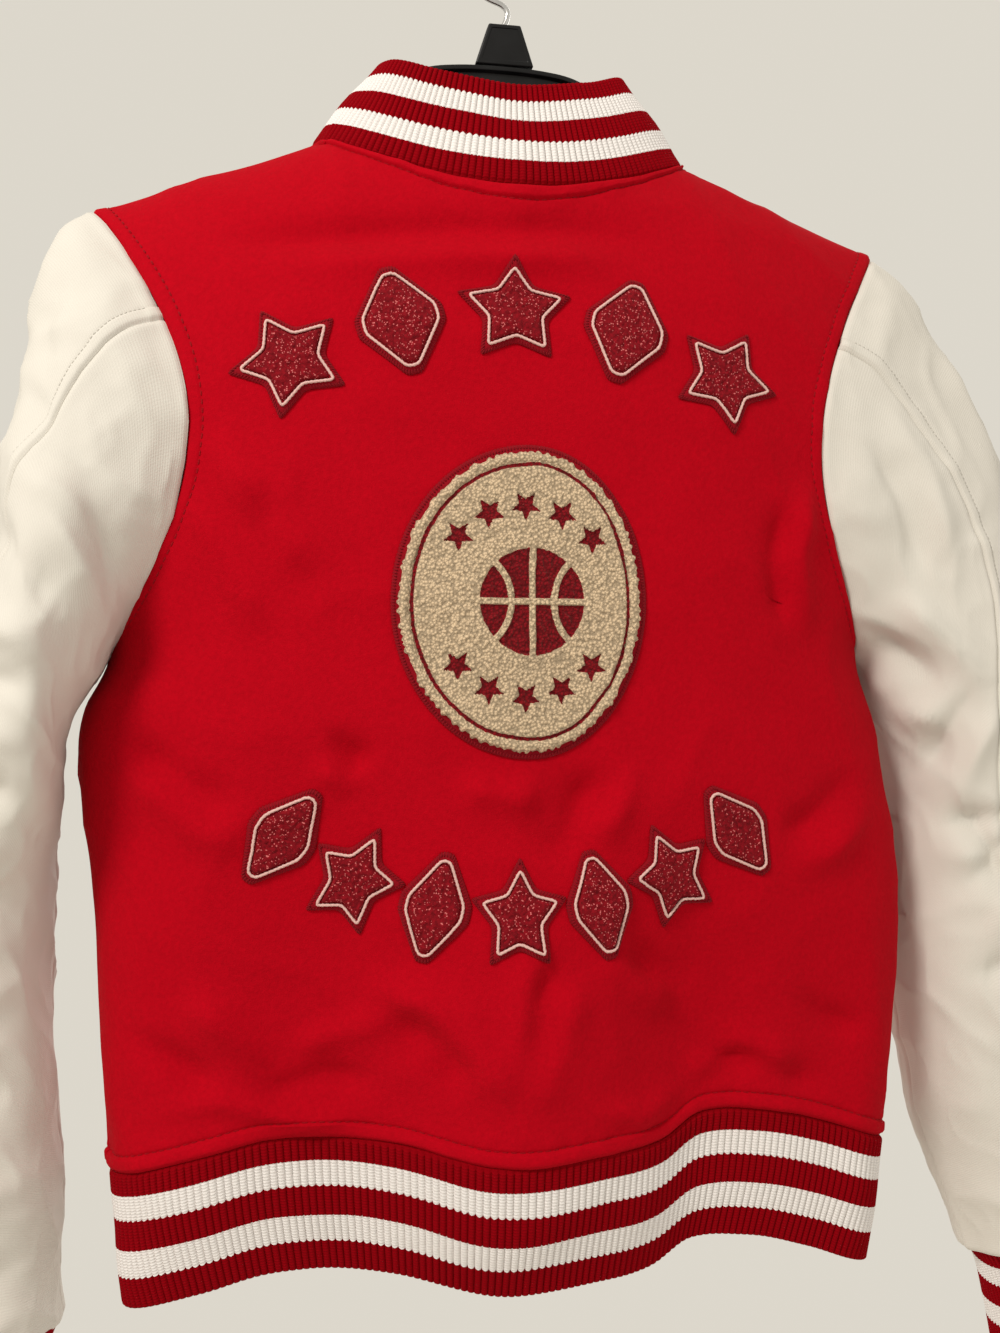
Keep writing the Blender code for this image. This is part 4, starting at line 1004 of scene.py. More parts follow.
def rib_panel(name, node, flip, closed, pitch, rib_rise, rows, surface):
    """A rib knit piece, folded double at its free edge: round ribs with narrow grooves between."""
    grid = garment()[node]
    fine = between(grid, np.linspace(0, len(grid) - 1, 4 * (len(grid) - 1) + 1))
    if closed:
        fine = np.concatenate((fine, fine[:, :1]), axis=1)
    ribs = int(round(run_along(fine[0])[-1] / pitch))
    count = ribs * RIB_SEGMENTS + 1

    def down_stops(length):
        start = RIB_SEAM_STOPS
        end = length - RIB_FREE_STOPS
        return np.concatenate((start, np.linspace(start[-1], end[0], rows)[1:-1], end))

    points = lay_out(fine, lambda length: np.linspace(0.0, length, count), down_stops)
    across = np.arange(count) * (pitch / RIB_SEGMENTS)
    down = run_along(points[:, count // 2])
    if closed:
        points = points[:, :-1]
    normals = grid_normals(points, flip, closed)
    share = (np.arange(points.shape[1]) % RIB_SEGMENTS) / RIB_SEGMENTS
    groove = np.abs(share - 0.5) * 2.0
    ridge = 1.0 - groove**3
    from_seam = down[:, None]
    from_edge = (down[-1] - down)[:, None]
    height = rib_rise * ridge[None, :] * ease(from_seam / 3.0 + 0.25)
    half = RIB_CLOTH / 2.0
    rounding = edge_round(from_edge, half * 1.1)
    middle = RIB_PROUD - half - RIB_SINK * np.exp(-(from_seam / 1.2) ** 2)
    wave = unevenness(points, RIB_WAVE_SIZE, RIB_WAVE, 4.0) * ease(from_seam / 14.0)
    thick = np.maximum((half - RIB_GROOVE + height) * rounding, RIB_TIP)
    outer = points + normals * (middle + wave + thick)[..., None]
    inner = points + normals * (middle + wave - thick)[..., None]
    SKINS[name] = Skin(outer, grid_normals(outer, flip, closed))
    return wall_object(name, outer, inner, closed, flip, surface, across, down)


# ---------------------------------------------------------------- stitches
STITCH_RINGS = ((0.0, 0.4), (0.2, 1.0), (0.8, 1.0), (1.0, 0.4))
STITCH_SIDES = 4


def stitch_template():
    """A short fat thread: (share of its length, sideways, up) of each point, and its faces."""
    points = []
    for share, width in STITCH_RINGS:
        for i in range(STITCH_SIDES):
            turn = math.tau * i / STITCH_SIDES
            points.append((share, math.cos(turn) * width, math.sin(turn) * width))
    faces = []
    for ring in range(len(STITCH_RINGS) - 1):
        for i in range(STITCH_SIDES):
            j = (i + 1) % STITCH_SIDES
            low = ring * STITCH_SIDES
            high = low + STITCH_SIDES
            faces.append((low + i, high + i, high + j, low + j))
    faces.append(tuple(range(STITCH_SIDES)))
    faces.append(tuple(reversed(range(len(points) - STITCH_SIDES, len(points)))))
    return np.array(points), faces


def stitches_between(starts, ends, normals, radius, lift):
    """Threads from each start to its end, lying on the cloth. Returns points and faces."""
    template, pattern = stitch_template()
    run = ends - starts
    side = unit(np.cross(normals, run)) * radius
    up = unit(np.cross(run, side)) * radius
    base = starts + unit(normals) * lift
    points = (base[:, None] + run[:, None] * template[None, :, :1]
              + side[:, None] * template[None, :, 1:2] + up[:, None] * template[None, :, 2:3])
    faces = []
    for number in range(len(starts)):
        low = number * len(template)
        faces += [tuple(low + i for i in face) for face in pattern]
    return points.reshape(-1, 3), faces


def topstitch(line, normals, length, gap, radius):
    """A row of stitches along a line of points."""
    run = run_along(line)
    count = int(run[-1] / (length + gap))
    step = run[-1] / count
    index = np.arange(len(line))
    first = np.arange(count) * step
    starts = between(line, np.interp(first, run, index))
    ends = between(line, np.interp(first + step - gap, run, index))
    middles = between(normals, np.interp(first + length / 2, run, index))
    return stitches_between(starts, ends, middles, radius, STITCH_LIFT)


def joined(name, parts, surface):
    """One object from several lists of points and faces."""
    points = []
    faces = []
    low = 0
    for part_points, part_faces in parts:
        points.append(part_points)
        faces += [tuple(low + i for i in face) for face in part_faces]
        low += len(part_points)
    return mesh_object(name, np.concatenate(points), faces, surface)


# ---------------------------------------------------------------- materials
class Maker:
    """A material under construction, whose nodes are added one by one."""

    def __init__(self, name, roughness, metallic=0.0):
        self.material = bpy.data.materials.new(name)
        self.material.use_nodes = True
        self.tree = self.material.node_tree
        self.shader = self.tree.nodes["Principled BSDF"]
        self.shader.inputs["Roughness"].default_value = roughness
        self.shader.inputs["Metallic"].default_value = metallic
        self.places = self.tree.nodes.new("ShaderNodeTexCoord")

    def add(self, kind, inputs=None, **settings):
        made = self.tree.nodes.new(kind)
        for key, value in settings.items():
            setattr(made, key, value)
        for key, value in (inputs or {}).items():
            if isinstance(value, bpy.types.NodeSocket):
                self.tree.links.new(value, made.inputs[key])
            else:
                made.inputs[key].default_value = value
        return made

    def sum_of(self, operation, first, second=0.0, third=0.0):
        node = self.add("ShaderNodeMath", {0: first, 1: second, 2: third}, operation=operation)
        return node.outputs[0]

    def noise(self, place, scale, detail=3.0, roughness=0.6):
        node = self.add("ShaderNodeTexNoise", {"Vector": self.places.outputs[place], "Scale": scale,
                                               "Detail": detail, "Roughness": roughness})
        return node.outputs["Fac"]

    def cells(self, scale):
        return self.add("ShaderNodeTexVoronoi", {"Vector": self.places.outputs["Object"], "Scale": scale})

    def ramp(self, value, stops, sharp=False):
        node = self.add("ShaderNodeValToRGB", {"Fac": value})
        ramp = node.color_ramp
        ramp.interpolation = "CONSTANT" if sharp else "LINEAR"
        for number, (place, colour) in enumerate(stops):
            if number > 1:
                ramp.elements.new(place)
            ramp.elements[number].position = place
        for element, (place, colour) in zip(ramp.elements, stops):
            element.position = place
            element.color = (*colour, 1.0) if len(colour) == 3 else colour
        return node.outputs["Color"]

    def mix(self, share, first, second):
        node = self.add("ShaderNodeMix", data_type="RGBA")
        for key, value in ((0, share), (6, first), (7, second)):
            if isinstance(value, bpy.types.NodeSocket):
                self.tree.links.new(value, node.inputs[key])
            elif key == 0:
                node.inputs[key].default_value = value
            else:
                node.inputs[key].default_value = (*value, 1.0)
        return node.outputs[2]

    def bump(self, height, strength, distance, below=None):
        inputs = {"Height": height, "Strength": strength, "Distance": distance}
        if below is not None:
            inputs["Normal"] = below
        return self.add("ShaderNodeBump", inputs).outputs["Normal"]

    def finish(self, colour, normal=None, sheen=0.0, sheen_tint=None, gloss=0.5):
        self.tree.links.new(colour, self.shader.inputs["Base Color"])
        self.shader.inputs["Specular IOR Level"].default_value = gloss
        if normal is not None:
            self.tree.links.new(normal, self.shader.inputs["Normal"])
        if sheen:
            self.shader.inputs["Sheen Weight"].default_value = sheen
            self.shader.inputs["Sheen Roughness"].default_value = 0.5
            self.shader.inputs["Sheen Tint"].default_value = (*sheen_tint, 1.0)
        return self.material


def shade(colour, factor):
    return tuple(min(channel * factor, 1.0) for channel in colour)


def fleece_material(settings):
    """Brushed fleece: a soft mottled nap with small pills."""
    maker = Maker("red_fleece_nap", 0.92)
    red = tuple(settings.fleece_colour)
    slow = maker.noise("Object", 38.0, 3.0)
    nap = maker.noise("Object", 420.0, 4.0, 0.7)
    fibre = maker.noise("Object", 1900.0, 3.0, 0.7)
    mottled = maker.ramp(nap, ((0.3, shade(red, 0.88)), (0.7, shade(red, 1.10))))
    colour = maker.mix(maker.sum_of("MULTIPLY", slow, 0.35), mottled, shade(red, 0.86))
    normal = maker.bump(nap, 0.45, 0.0009)
    normal = maker.bump(fibre, 0.5, 0.0004, normal)
    return maker.finish(colour, normal, 0.04, (1.0, 0.10, 0.10), 0.05)


def twill_material(settings):
    """Warm white sleeve cloth with fine lines across."""
    maker = Maker("cream_sleeve_twill", 0.86)
    cream = tuple(settings.sleeve_colour)
    apart = maker.add("ShaderNodeSeparateXYZ", {0: maker.places.outputs["UV"]})
    wander = maker.noise("UV", 900.0, 2.0)
    down = maker.sum_of("MULTIPLY_ADD", wander, 0.0005, apart.outputs[1])
    line = maker.sum_of("SINE", maker.sum_of("MULTIPLY", down, math.tau / 0.00125))
    yarn = maker.sum_of("SINE", maker.sum_of("MULTIPLY", apart.outputs[0], math.tau / 0.0010))
    weave = maker.sum_of("MULTIPLY_ADD", yarn, 0.35, line)
    fuzz = maker.noise("Object", 1300.0, 3.0, 0.7)
    slow = maker.noise("Object", 30.0, 3.0)
    share = maker.sum_of("MULTIPLY_ADD", weave, 0.28, 0.5)
    colour = maker.ramp(share, ((0.0, shade(cream, 0.95)), (1.0, shade(cream, 1.03))))
    colour = maker.mix(maker.sum_of("MULTIPLY", slow, 0.25), colour, shade(cream, 0.90))
    normal = maker.bump(weave, 0.14, 0.0003)
    normal = maker.bump(fuzz, 0.30, 0.0004, normal)
    return maker.finish(colour, normal, 0.1, (1.0, 0.97, 0.9), 0.2)


def rib_material(settings, name, stripes, height):
    """Rib knit whose stripes change colour from stitch to stitch."""
    maker = Maker(name, 0.9)
    red = tuple(settings.rib_colour)
    white = tuple(settings.stripe_colour)
    apart = maker.add("ShaderNodeSeparateXYZ", {0: maker.places.outputs["UV"]})
    ridge = maker.sum_of("PINGPONG", apart.outputs[0], settings.rib_pitch / 2.0)
    wander = maker.sum_of("SUBTRACT", maker.noise("UV", 900.0, 2.0), 0.5)
    down = maker.sum_of("MULTIPLY_ADD", wander, 0.0008, apart.outputs[1])
    black = (0.0, 0.0, 0.0)
    stops = [(0.0, black)]
    place = 0.0
    inward = STRIPE_INSET / height
    for number, width in enumerate(stripes):
        place += width
        stops.append((place + inward, (1.0, 1.0, 1.0)) if number % 2 == 0 else (place - inward, black))
    masks = []
    for reach in (STRIPE_BULGE, -STRIPE_BULGE):
        bulged = maker.sum_of("MULTIPLY_ADD", ridge, reach, down)
        masks.append(maker.ramp(maker.sum_of("DIVIDE", bulged, height * MM), stops, sharp=True))
    striped = maker.mix(maker.sum_of("MAXIMUM", masks[0], masks[1]), red, white)
    fuzz = maker.noise("Object", 1500.0, 3.0, 0.7)
    loop = maker.sum_of("SINE", maker.sum_of("MULTIPLY", down, math.tau / 0.0015))
    dark = maker.sum_of("MULTIPLY_ADD", loop, -0.16, maker.sum_of("MULTIPLY_ADD", fuzz, -0.7, 0.5))
    shaded = maker.add("ShaderNodeHueSaturation", {"Color": striped, "Value": 0.62})
    colour = maker.mix(dark, striped, shaded.outputs[0])
    normal = maker.bump(loop, 0.35, 0.0004)
    normal = maker.bump(fuzz, 0.4, 0.0005, normal)
    return maker.finish(colour, normal, gloss=0.04)


def yarn_material(name, colour, roughness=0.85, scale=1500.0):
    """Thread or felt: fine fibres of nearly one colour."""
    maker = Maker(name, roughness)
    fibre = maker.noise("Object", scale, 4.0, 0.7)
    slow = maker.noise("Object", 120.0, 2.0)
    mottled = maker.ramp(fibre, ((0.3, shade(colour, 0.72)), (0.72, shade(colour, 1.25))))
    mixed = maker.mix(maker.sum_of("MULTIPLY", slow, 0.3), mottled, shade(colour, 0.85))
    return maker.finish(mixed, maker.bump(fibre, 0.5, 0.0004), 0.05, (1.0, 0.6, 0.6), 0.12)


def red_pile_material(settings):
    """Dark red chenille with glitter threads, whose glints are painted into its colour as bright specks.
    """
    maker = Maker("chenille_red_pile", 0.88)
    red = tuple(settings.patch_colour)
    tuft = maker.noise("Object", 620.0, 3.0, 0.7)
    colour = maker.ramp(tuft, ((0.3, shade(red, 0.55)), (0.7, shade(red, 1.45))))
    # painted glints: specks of a fixed bright colour stand for light caught by the glitter threads
    speck = maker.cells(1900.0)
    chance = maker.add("ShaderNodeSeparateColor", {0: speck.outputs["Color"]}).outputs[0]
    painted_glints = maker.sum_of("GREATER_THAN", chance, 0.94)
    colour = maker.mix(painted_glints, colour, (0.60, 0.15, 0.15))
    fibre = maker.noise("Object", 1700.0, 3.0, 0.7)
    normal = maker.bump(tuft, 0.6, 0.0008)
    normal = maker.bump(fibre, 0.5, 0.0004, normal)
    return maker.finish(colour, normal, 0.05, (1.0, 0.3, 0.3), 0.15)


def cream_pile_material(settings):
    """Cream looped pile, dark red where the figures are."""
    maker = Maker("chenille_cream_pile", 0.9)
    cream = tuple(settings.badge_colour)
    red = tuple(settings.patch_colour)
    cell = maker.cells(680.0)
    loop = maker.sum_of("SUBTRACT", 0.9, cell.outputs["Distance"])
    pale = maker.ramp(loop, ((0.25, shade(cream, 0.60)), (0.60, shade(cream, 1.16))))
    dark = maker.ramp(loop, ((0.25, shade(red, 0.6)), (0.65, shade(red, 1.25))))
    mark = maker.add("ShaderNodeAttribute", attribute_name="mark")
    ragged = maker.sum_of("MULTIPLY_ADD", maker.sum_of("SUBTRACT", loop, 0.5), 0.5, mark.outputs["Fac"])
    share = maker.ramp(ragged, ((0.42, (0, 0, 0)), (0.58, (1, 1, 1))))
    colour = maker.mix(share, pale, dark)
    fibre = maker.noise("Object", 1700.0, 3.0, 0.7)
    normal = maker.bump(loop, 0.75, 0.0014)
    normal = maker.bump(fibre, 0.4, 0.0004, normal)
    return maker.finish(colour, normal, 0.1, (1.0, 0.95, 0.8), 0.15)


def plastic_material(colour):
    """Black moulded plastic with a fine spark-eroded texture."""
    maker = Maker("hanger_black_plastic", 0.42)
    grain = maker.noise("Object", 900.0, 3.0)
    slow = maker.noise("Object", 45.0, 3.0)
    tone = maker.ramp(slow, ((0.3, shade(colour, 0.8)), (0.7, shade(colour, 1.6))))
    gloss = maker.sum_of("MULTIPLY_ADD", slow, 0.18, 0.33)
    maker.tree.links.new(gloss, maker.shader.inputs["Roughness"])
    return maker.finish(tone, maker.bump(grain, 0.12, 0.0002), gloss=0.22)


def metal_material(name, colour, roughness, scale):
    """Plated metal with faint wiping marks."""
    maker = Maker(name, roughness, 1.0)
    streak = maker.noise("Object", scale, 4.0)
    tone = maker.ramp(streak, ((0.3, shade(colour, 0.86)), (0.7, shade(colour, 1.08))))
    gloss = maker.sum_of("MULTIPLY_ADD", streak, 0.16, roughness - 0.08)
    maker.tree.links.new(gloss, maker.shader.inputs["Roughness"])
    return maker.finish(tone, maker.bump(streak, 0.05, 0.0002))


def floor_material(colour):
    maker = Maker("pale_floor", 0.8)
    slow = maker.noise("Object", 3.0, 3.0)
    tone = maker.ramp(slow, ((0.3, shade(colour, 0.98)), (0.7, shade(colour, 1.02))))
    return maker.finish(tone)


# ---------------------------------------------------------------- patches
def star_outline(width, inset):
    shrink = inset * 1.9
    points = []
    for i in range(10):
        turn = math.radians(90.0 + 36.0 * i)
        reach = 1.0 if i % 2 == 0 else 0.56
        points.append((math.cos(turn) * reach * (width / 2.0 - shrink) * 1.04,
                       math.sin(turn) * reach * (PATCH_HEIGHT / 2.0 - shrink) * 1.04))
    return np.array(points)


def lozenge_outline(width, inset):
    shrink = inset * 1.35
    wide = width / 2.0 - shrink
    tall = PATCH_HEIGHT / 2.0 - shrink
    corner = 0.16
    return np.array(((wide, -corner * tall), (wide, corner * tall), (corner * wide, tall),
                     (-corner * wide, tall), (-wide, corner * tall), (-wide, -corner * tall),
                     (-corner * wide, -tall), (corner * wide, -tall)))


def badge_outline(inset):
    turns = np.linspace(0.0, math.tau, 180, endpoint=False)
    wide = np.where(np.cos(turns) > 0, BADGE_RIGHT, BADGE_LEFT) - inset
    return np.stack((np.cos(turns) * wide, np.sin(turns) * (BADGE_TALL - inset)), axis=-1)


def dense_outline(corners, spacing, soften):
    """An outline with even points, its corners softened a little."""
    ring = np.concatenate((corners, corners[:1]))
    run = run_along(ring)
    count = int(run[-1] / spacing)
    at = np.arange(count) * run[-1] / count
    line = np.stack((np.interp(at, run, ring[:, 0]), np.interp(at, run, ring[:, 1])), axis=-1)
    for _ in range(soften):
        line = (np.roll(line, 1, axis=0) + line * 2.0 + np.roll(line, -1, axis=0)) / 4.0
    return line


class Ground:
    """The back's outer skin, on which the patches lie."""

    def __init__(self, skin):
        high, wide = skin.points.shape[:2]
        number = np.arange(high * wide).reshape(high, wide)
        quads = np.stack((number[:-1, :-1], number[:-1, 1:], number[1:, 1:], number[1:, :-1]), axis=-1)
        points = skin.points.reshape(-1, 3)
        self.tree = BVHTree.FromPolygons(points.tolist(), quads.reshape(-1, 4).tolist())

    def at(self, places, lift):
        """Points over the places (X and Z), lifted off the cloth by their own heights, and normals."""
        lift = np.broadcast_to(lift, (len(places),))
        points = []
        normals = []
        for (x, z), rise in zip(places, lift):
            hit, normal, _, _ = self.tree.ray_cast(Vector((x, -300.0, z)), Vector((0.0, 1.0, 0.0)))
            if hit is None:
                raise RuntimeError(f"no cloth under the patch at {x:.0f}, {z:.0f}")
            if normal.y > 0:
                normal = -normal
            points.append(hit + normal * float(rise))
            normals.append(normal)
        return np.array(points), np.array(normals)


def turned(places, centre, turn):
    """Places in a patch's own plane moved to where the patch lies on the back."""
    x = centre[0] + places[:, 0] * math.cos(turn) - places[:, 1] * math.sin(turn)
    z = centre[1] + places[:, 0] * math.sin(turn) + places[:, 1] * math.cos(turn)
    return np.stack((x, z), axis=-1)


def pad_object(name, outline, rings, centre, turn, ground, low, height_at, surface, mark_at=None,
               ragged=0.0):
    """A closed pad on the back: rings of points from its middle out, and a flat underside."""
    count = len(outline)
    shares = np.linspace(0.0, 1.0, rings + 1)[1:]
    reach = np.linalg.norm(outline, axis=1)
    wobble = (ragged * (tufts(outline, RAGGED_SIZE, 3.0) - 0.5) / reach)[:, None]
    places = [outline * share * (1.0 + wobble * share**RAGGED_POWER) for share in shares]
    places = np.concatenate([np.zeros((1, 2))] + places)
    inside = np.concatenate([[reach.min()]] + [reach * (1.0 - share) for share in shares])
    heights = height_at(places, inside)
    mark = mark_at(places, inside) if mark_at else None
    laid = turned(places, centre, turn)
    top, _ = ground.at(laid, heights)
    under, _ = ground.at(laid[-count:], low)
    middle, _ = ground.at(laid[:1], low)
    points = np.concatenate((top, under, middle))
    faces = []
    ring = np.arange(count)
    after = np.roll(ring, -1)
    faces += np.stack((np.zeros(count, int), 1 + after, 1 + ring), axis=-1).tolist()
    for k in range(rings - 1):
        near = 1 + k * count
        far = near + count
        faces += np.stack((near + ring, near + after, far + after, far + ring), axis=-1).tolist()
    last = 1 + (rings - 1) * count
    base = last + count
    faces += np.stack((last + ring, last + after, base + after, base + ring), axis=-1).tolist()
    tip = base + count
    faces += np.stack((np.full(count, tip), base + ring, base + after), axis=-1).tolist()
    if mark is not None:
        mark = np.concatenate((mark, np.zeros(count + 1)))
    return mesh_object(name, points, faces, surface, mark=mark)


def tufts(places, size, seed):
    """How high the pile's tufts stand, from 0 between them to 1 on top."""
    heights = []
    for x, z in places:
        near = noise.voronoi(Vector((x / size + seed, z / size, seed)))[0][0]
        heights.append(1.0 - min(near / 0.62, 1.0) ** 2)
    return np.array(heights)


def edge_round(inside, width):
    """A rounded shoulder: 0 at the outline and 1 from a width inside it."""
    share = np.clip(inside / width, 0.0, 1.0)
    return np.sqrt(1.0 - (1.0 - share) ** 2)


def cord_ring(outline, centre, turn, ground, radius, lift, twist):
    """A thin twisted cord round an outline, as points and faces."""
    laid = turned(outline, centre, turn)
    line, normals = ground.at(laid, lift)
    ahead = unit(np.roll(line, -1, axis=0) - np.roll(line, 1, axis=0))
    side = unit(np.cross(normals, ahead))
    up = np.cross(ahead, side)
    run = run_along(line)
    sides = 8
    rings = []
    for i in range(sides):
        angle = math.tau * i / sides
        swell = radius * (1.0 + 0.22 * np.cos(2.0 * angle - run * math.tau / twist))
        aside = side * (np.cos(angle) * swell)[:, None]
        rings.append(line + aside + up * (np.sin(angle) * swell)[:, None])
    points = np.stack(rings, axis=1).reshape(-1, 3)
    count = len(line)
    faces = []
    for k in range(count):
        for i in range(sides):
            j = (i + 1) % sides
            near = k * sides
            far = ((k + 1) % count) * sides
            faces.append((near + i, near + j, far + j, far + i))
    return points, faces


def felt_height(places, inside):
    """Height of a felt, thinner by its edge."""
    return LAYER_GAP + PATCH_FELT * (FELT_EDGE + (1.0 - FELT_EDGE) * edge_round(inside, FELT_ROUND))


def edge_stitches(corners, centre, turn, ground):
    """Overlocked thread over a felt's edge, from its face round to its side."""
    outline = dense_outline(corners, OVERLOCK_STEP, 1)
    reach = np.linalg.norm(outline, axis=1)[:, None]
    inside = outline * (reach - OVERLOCK_REACH) / reach
    beyond = outline * (reach + OVERLOCK_OUT) / reach
    starts, normals = ground.at(turned(inside, centre, turn), FELT_TOP)
    ends, _ = ground.at(turned(beyond, centre, turn), LAYER_GAP)
    return stitches_between(starts, ends, normals, OVERLOCK_THREAD, 0.05)


def patch_parts(name, corners_at, centre, turn, ground, seed, surfaces):
    """One small patch: felt, its overlocked edge, pale outline cord and glitter pile with painted glints.
    """
    corners = corners_at(0.0)

    def pile_height(places, inside):
        rounded = edge_round(inside, PILE_ROUND)
        tufted = TUFT_RISE * tufts(places, TUFT_SIZE, seed) * rounded
        return FELT_TOP + (PATCH_PILE - TUFT_RISE) * rounded + tufted

    felt = pad_object(name + "_felt_base", dense_outline(corners, 1.6, 3), 7, centre, turn, ground,
                      LAYER_GAP, felt_height, surfaces["felt"])
    pile = pad_object(name + "_chenille", dense_outline(corners_at(PATCH_MARGIN + PILE_IN), 0.95, 3), 22,
                      centre, turn, ground, FELT_TOP - PILE_SINK, pile_height, surfaces["pile"])
    cord = cord_ring(dense_outline(corners_at(PATCH_MARGIN - CORD_OUT), 0.9, 5), centre, turn, ground,
                     CORD_RADIUS, FELT_TOP + 0.7, CORD_TWIST)
    edge = edge_stitches(corners, centre, turn, ground)
    return felt, pile, cord, edge


# ---------------------------------------------------------------- the badge's figures
def star_mark(places, centre, radius):
    """1 inside a five-pointed star, falling to 0 outside it."""
    x = places[:, 0] - centre[0]
    z = places[:, 1] - centre[1]
    sector = math.radians(36.0)
    angle = np.abs((np.arctan2(z, x) - math.pi / 2.0 + sector) % (2.0 * sector) - sector)
    notch = radius * 0.45
    span = notch * np.sin(angle) + radius * np.sin(sector - angle)
    limit = notch * radius * math.sin(sector) / span
    return np.clip((limit - np.hypot(x, z)) / SOFT_EDGE + 0.5, 0.0, 1.0)


def badge_mark(places, inside):
    """Where the badge is dark red: the ball without its seams, the stars and the ring line."""
    x = places[:, 0]
    z = places[:, 1]
    ball = np.clip((BALL_RADIUS - np.hypot(x, z)) / SOFT_EDGE + 0.5, 0.0, 1.0)
    side_seam_middle = BALL_RADIUS * 1.38
    side_seam_radius = BALL_RADIUS * 0.98
    gaps = [np.abs(x), np.abs(z)]
    for side in (-1.0, 1.0):
        gaps.append(np.abs(np.hypot(x - side * side_seam_middle, z) - side_seam_radius))
    seam = np.clip((BALL_SEAM - np.min(gaps, axis=0)) / SOFT_EDGE + 0.5, 0.0, 1.0)
    mark = ball * (1.0 - seam)
    for number in range(BADGE_STARS):
        turn = math.radians(STARS_STEP * (number - (BADGE_STARS - 1) / 2.0))
        for up in (1.0, -1.0):
            centre = (math.sin(turn) * STARS_REACH[0] + STARS_SHIFT,
                      up * math.cos(turn) * STARS_REACH[1])
            mark = np.maximum(mark, star_mark(places, centre, STARS_RADIUS))
    line = np.abs(inside - BADGE_CORD - BADGE_LINE / 2.0)
    mark = np.maximum(mark, np.clip((BADGE_LINE / 2.0 - line) / 0.5 + 0.5, 0.0, 1.0))
    return mark


def badge_height(places, inside):
    """Height of the badge: a raised looped edge, then loops that sink in the red figures."""
    mark = badge_mark(places, inside)
    loops = tufts(places, LOOP_SIZE, 3.0)
    body = FELT_TOP + 1.75 + 0.85 * loops - 1.15 * mark
    half = BADGE_CORD / 2.0
    rope = FELT_TOP + PATCH_PILE * np.sqrt(np.clip(1.0 - ((inside - half) / half) ** 2, 0.0, 1.0))
    rope += ROPE_UNEVEN * (loops - 0.6) * ease(inside / 1.5)
    return np.where(inside < BADGE_CORD, np.maximum(rope, FELT_TOP + 0.15), body)


# ---------------------------------------------------------------- helpers for operators
def settle(piece, slot, *nodes):
    """The piece rides on the one body and stands for its CAD nodes, which it hides; the slot is not used.
    """
    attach(piece, "root")
    if nodes:
        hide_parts(*nodes)
    return piece


def deselect_all():
    if bpy.context.object and bpy.context.object.mode != "OBJECT":
        bpy.ops.object.mode_set(mode="OBJECT")
    bpy.ops.object.select_all(action="DESELECT")


def select_faces(piece, wanted):
    """In edit mode, select only the faces whose middle and normal pass a test."""
    bpy.ops.mesh.select_mode(type="FACE")
    bpy.ops.mesh.select_all(action="DESELECT")
    mesh = bmesh.from_edit_mesh(piece.data)
    for face in mesh.faces:
        face.select = wanted(face.calc_center_median(), face.normal)
    mesh.select_flush_mode()
    bmesh.update_edit_mesh(piece.data)


def fix_place(piece):
    """Put a piece's place in its mesh, so that its object sits at the origin."""
    bpy.ops.object.select_all(action="DESELECT")
    piece.select_set(True)
    bpy.context.view_layer.objects.active = piece
    bpy.ops.object.transform_apply(location=True, rotation=True, scale=True)


def wire_path(name, points, surface):
    """A smooth open curve through points in millimetres, still without its thickness."""
    deselect_all()
    bpy.ops.curve.primitive_nurbs_path_add(location=(0.0, 0.0, 0.0))
    path = bpy.context.object
    path.name = name
    path.data.name = name
    path.data.splines.clear()
    path.data.dimensions = "3D"
    line = path.data.splines.new("POLY")
    line.points.add(len(points) - 1)
    for target, point in zip(line.points, points):
        target.co = (*(Vector(point) * MM), 1.0)
    path.data.materials.append(surface)
    return path


def smooth_faces(mesh, angle):
    """Shade a mesh smoothly, apart from the edges that turn by more than an angle in degrees."""
    mesh.shade_smooth()
    mesh.set_sharp_from_angle(angle=math.radians(angle))


def soften_edges(piece, width, segments, angle):
    """Bevel the active piece's edges that turn by more than an angle in degrees."""
    bevel = piece.modifiers.new("soft_edges", "BEVEL")
    bevel.width = width * MM
    bevel.segments = segments
    bevel.limit_method = "ANGLE"
    bevel.angle_limit = math.radians(angle)
    bpy.ops.object.modifier_apply(modifier=bevel.name)


def curve_to_mesh(path):
    bpy.ops.object.select_all(action="DESELECT")
    path.select_set(True)
    bpy.context.view_layer.objects.active = path
    bpy.ops.object.convert(target="MESH")
    made = bpy.context.object
    smooth_faces(made.data, 40)
    return made


# ---------------------------------------------------------------- settings
COLOUR = {"min": 0.0, "max": 1.0, "subtype": "COLOR"}


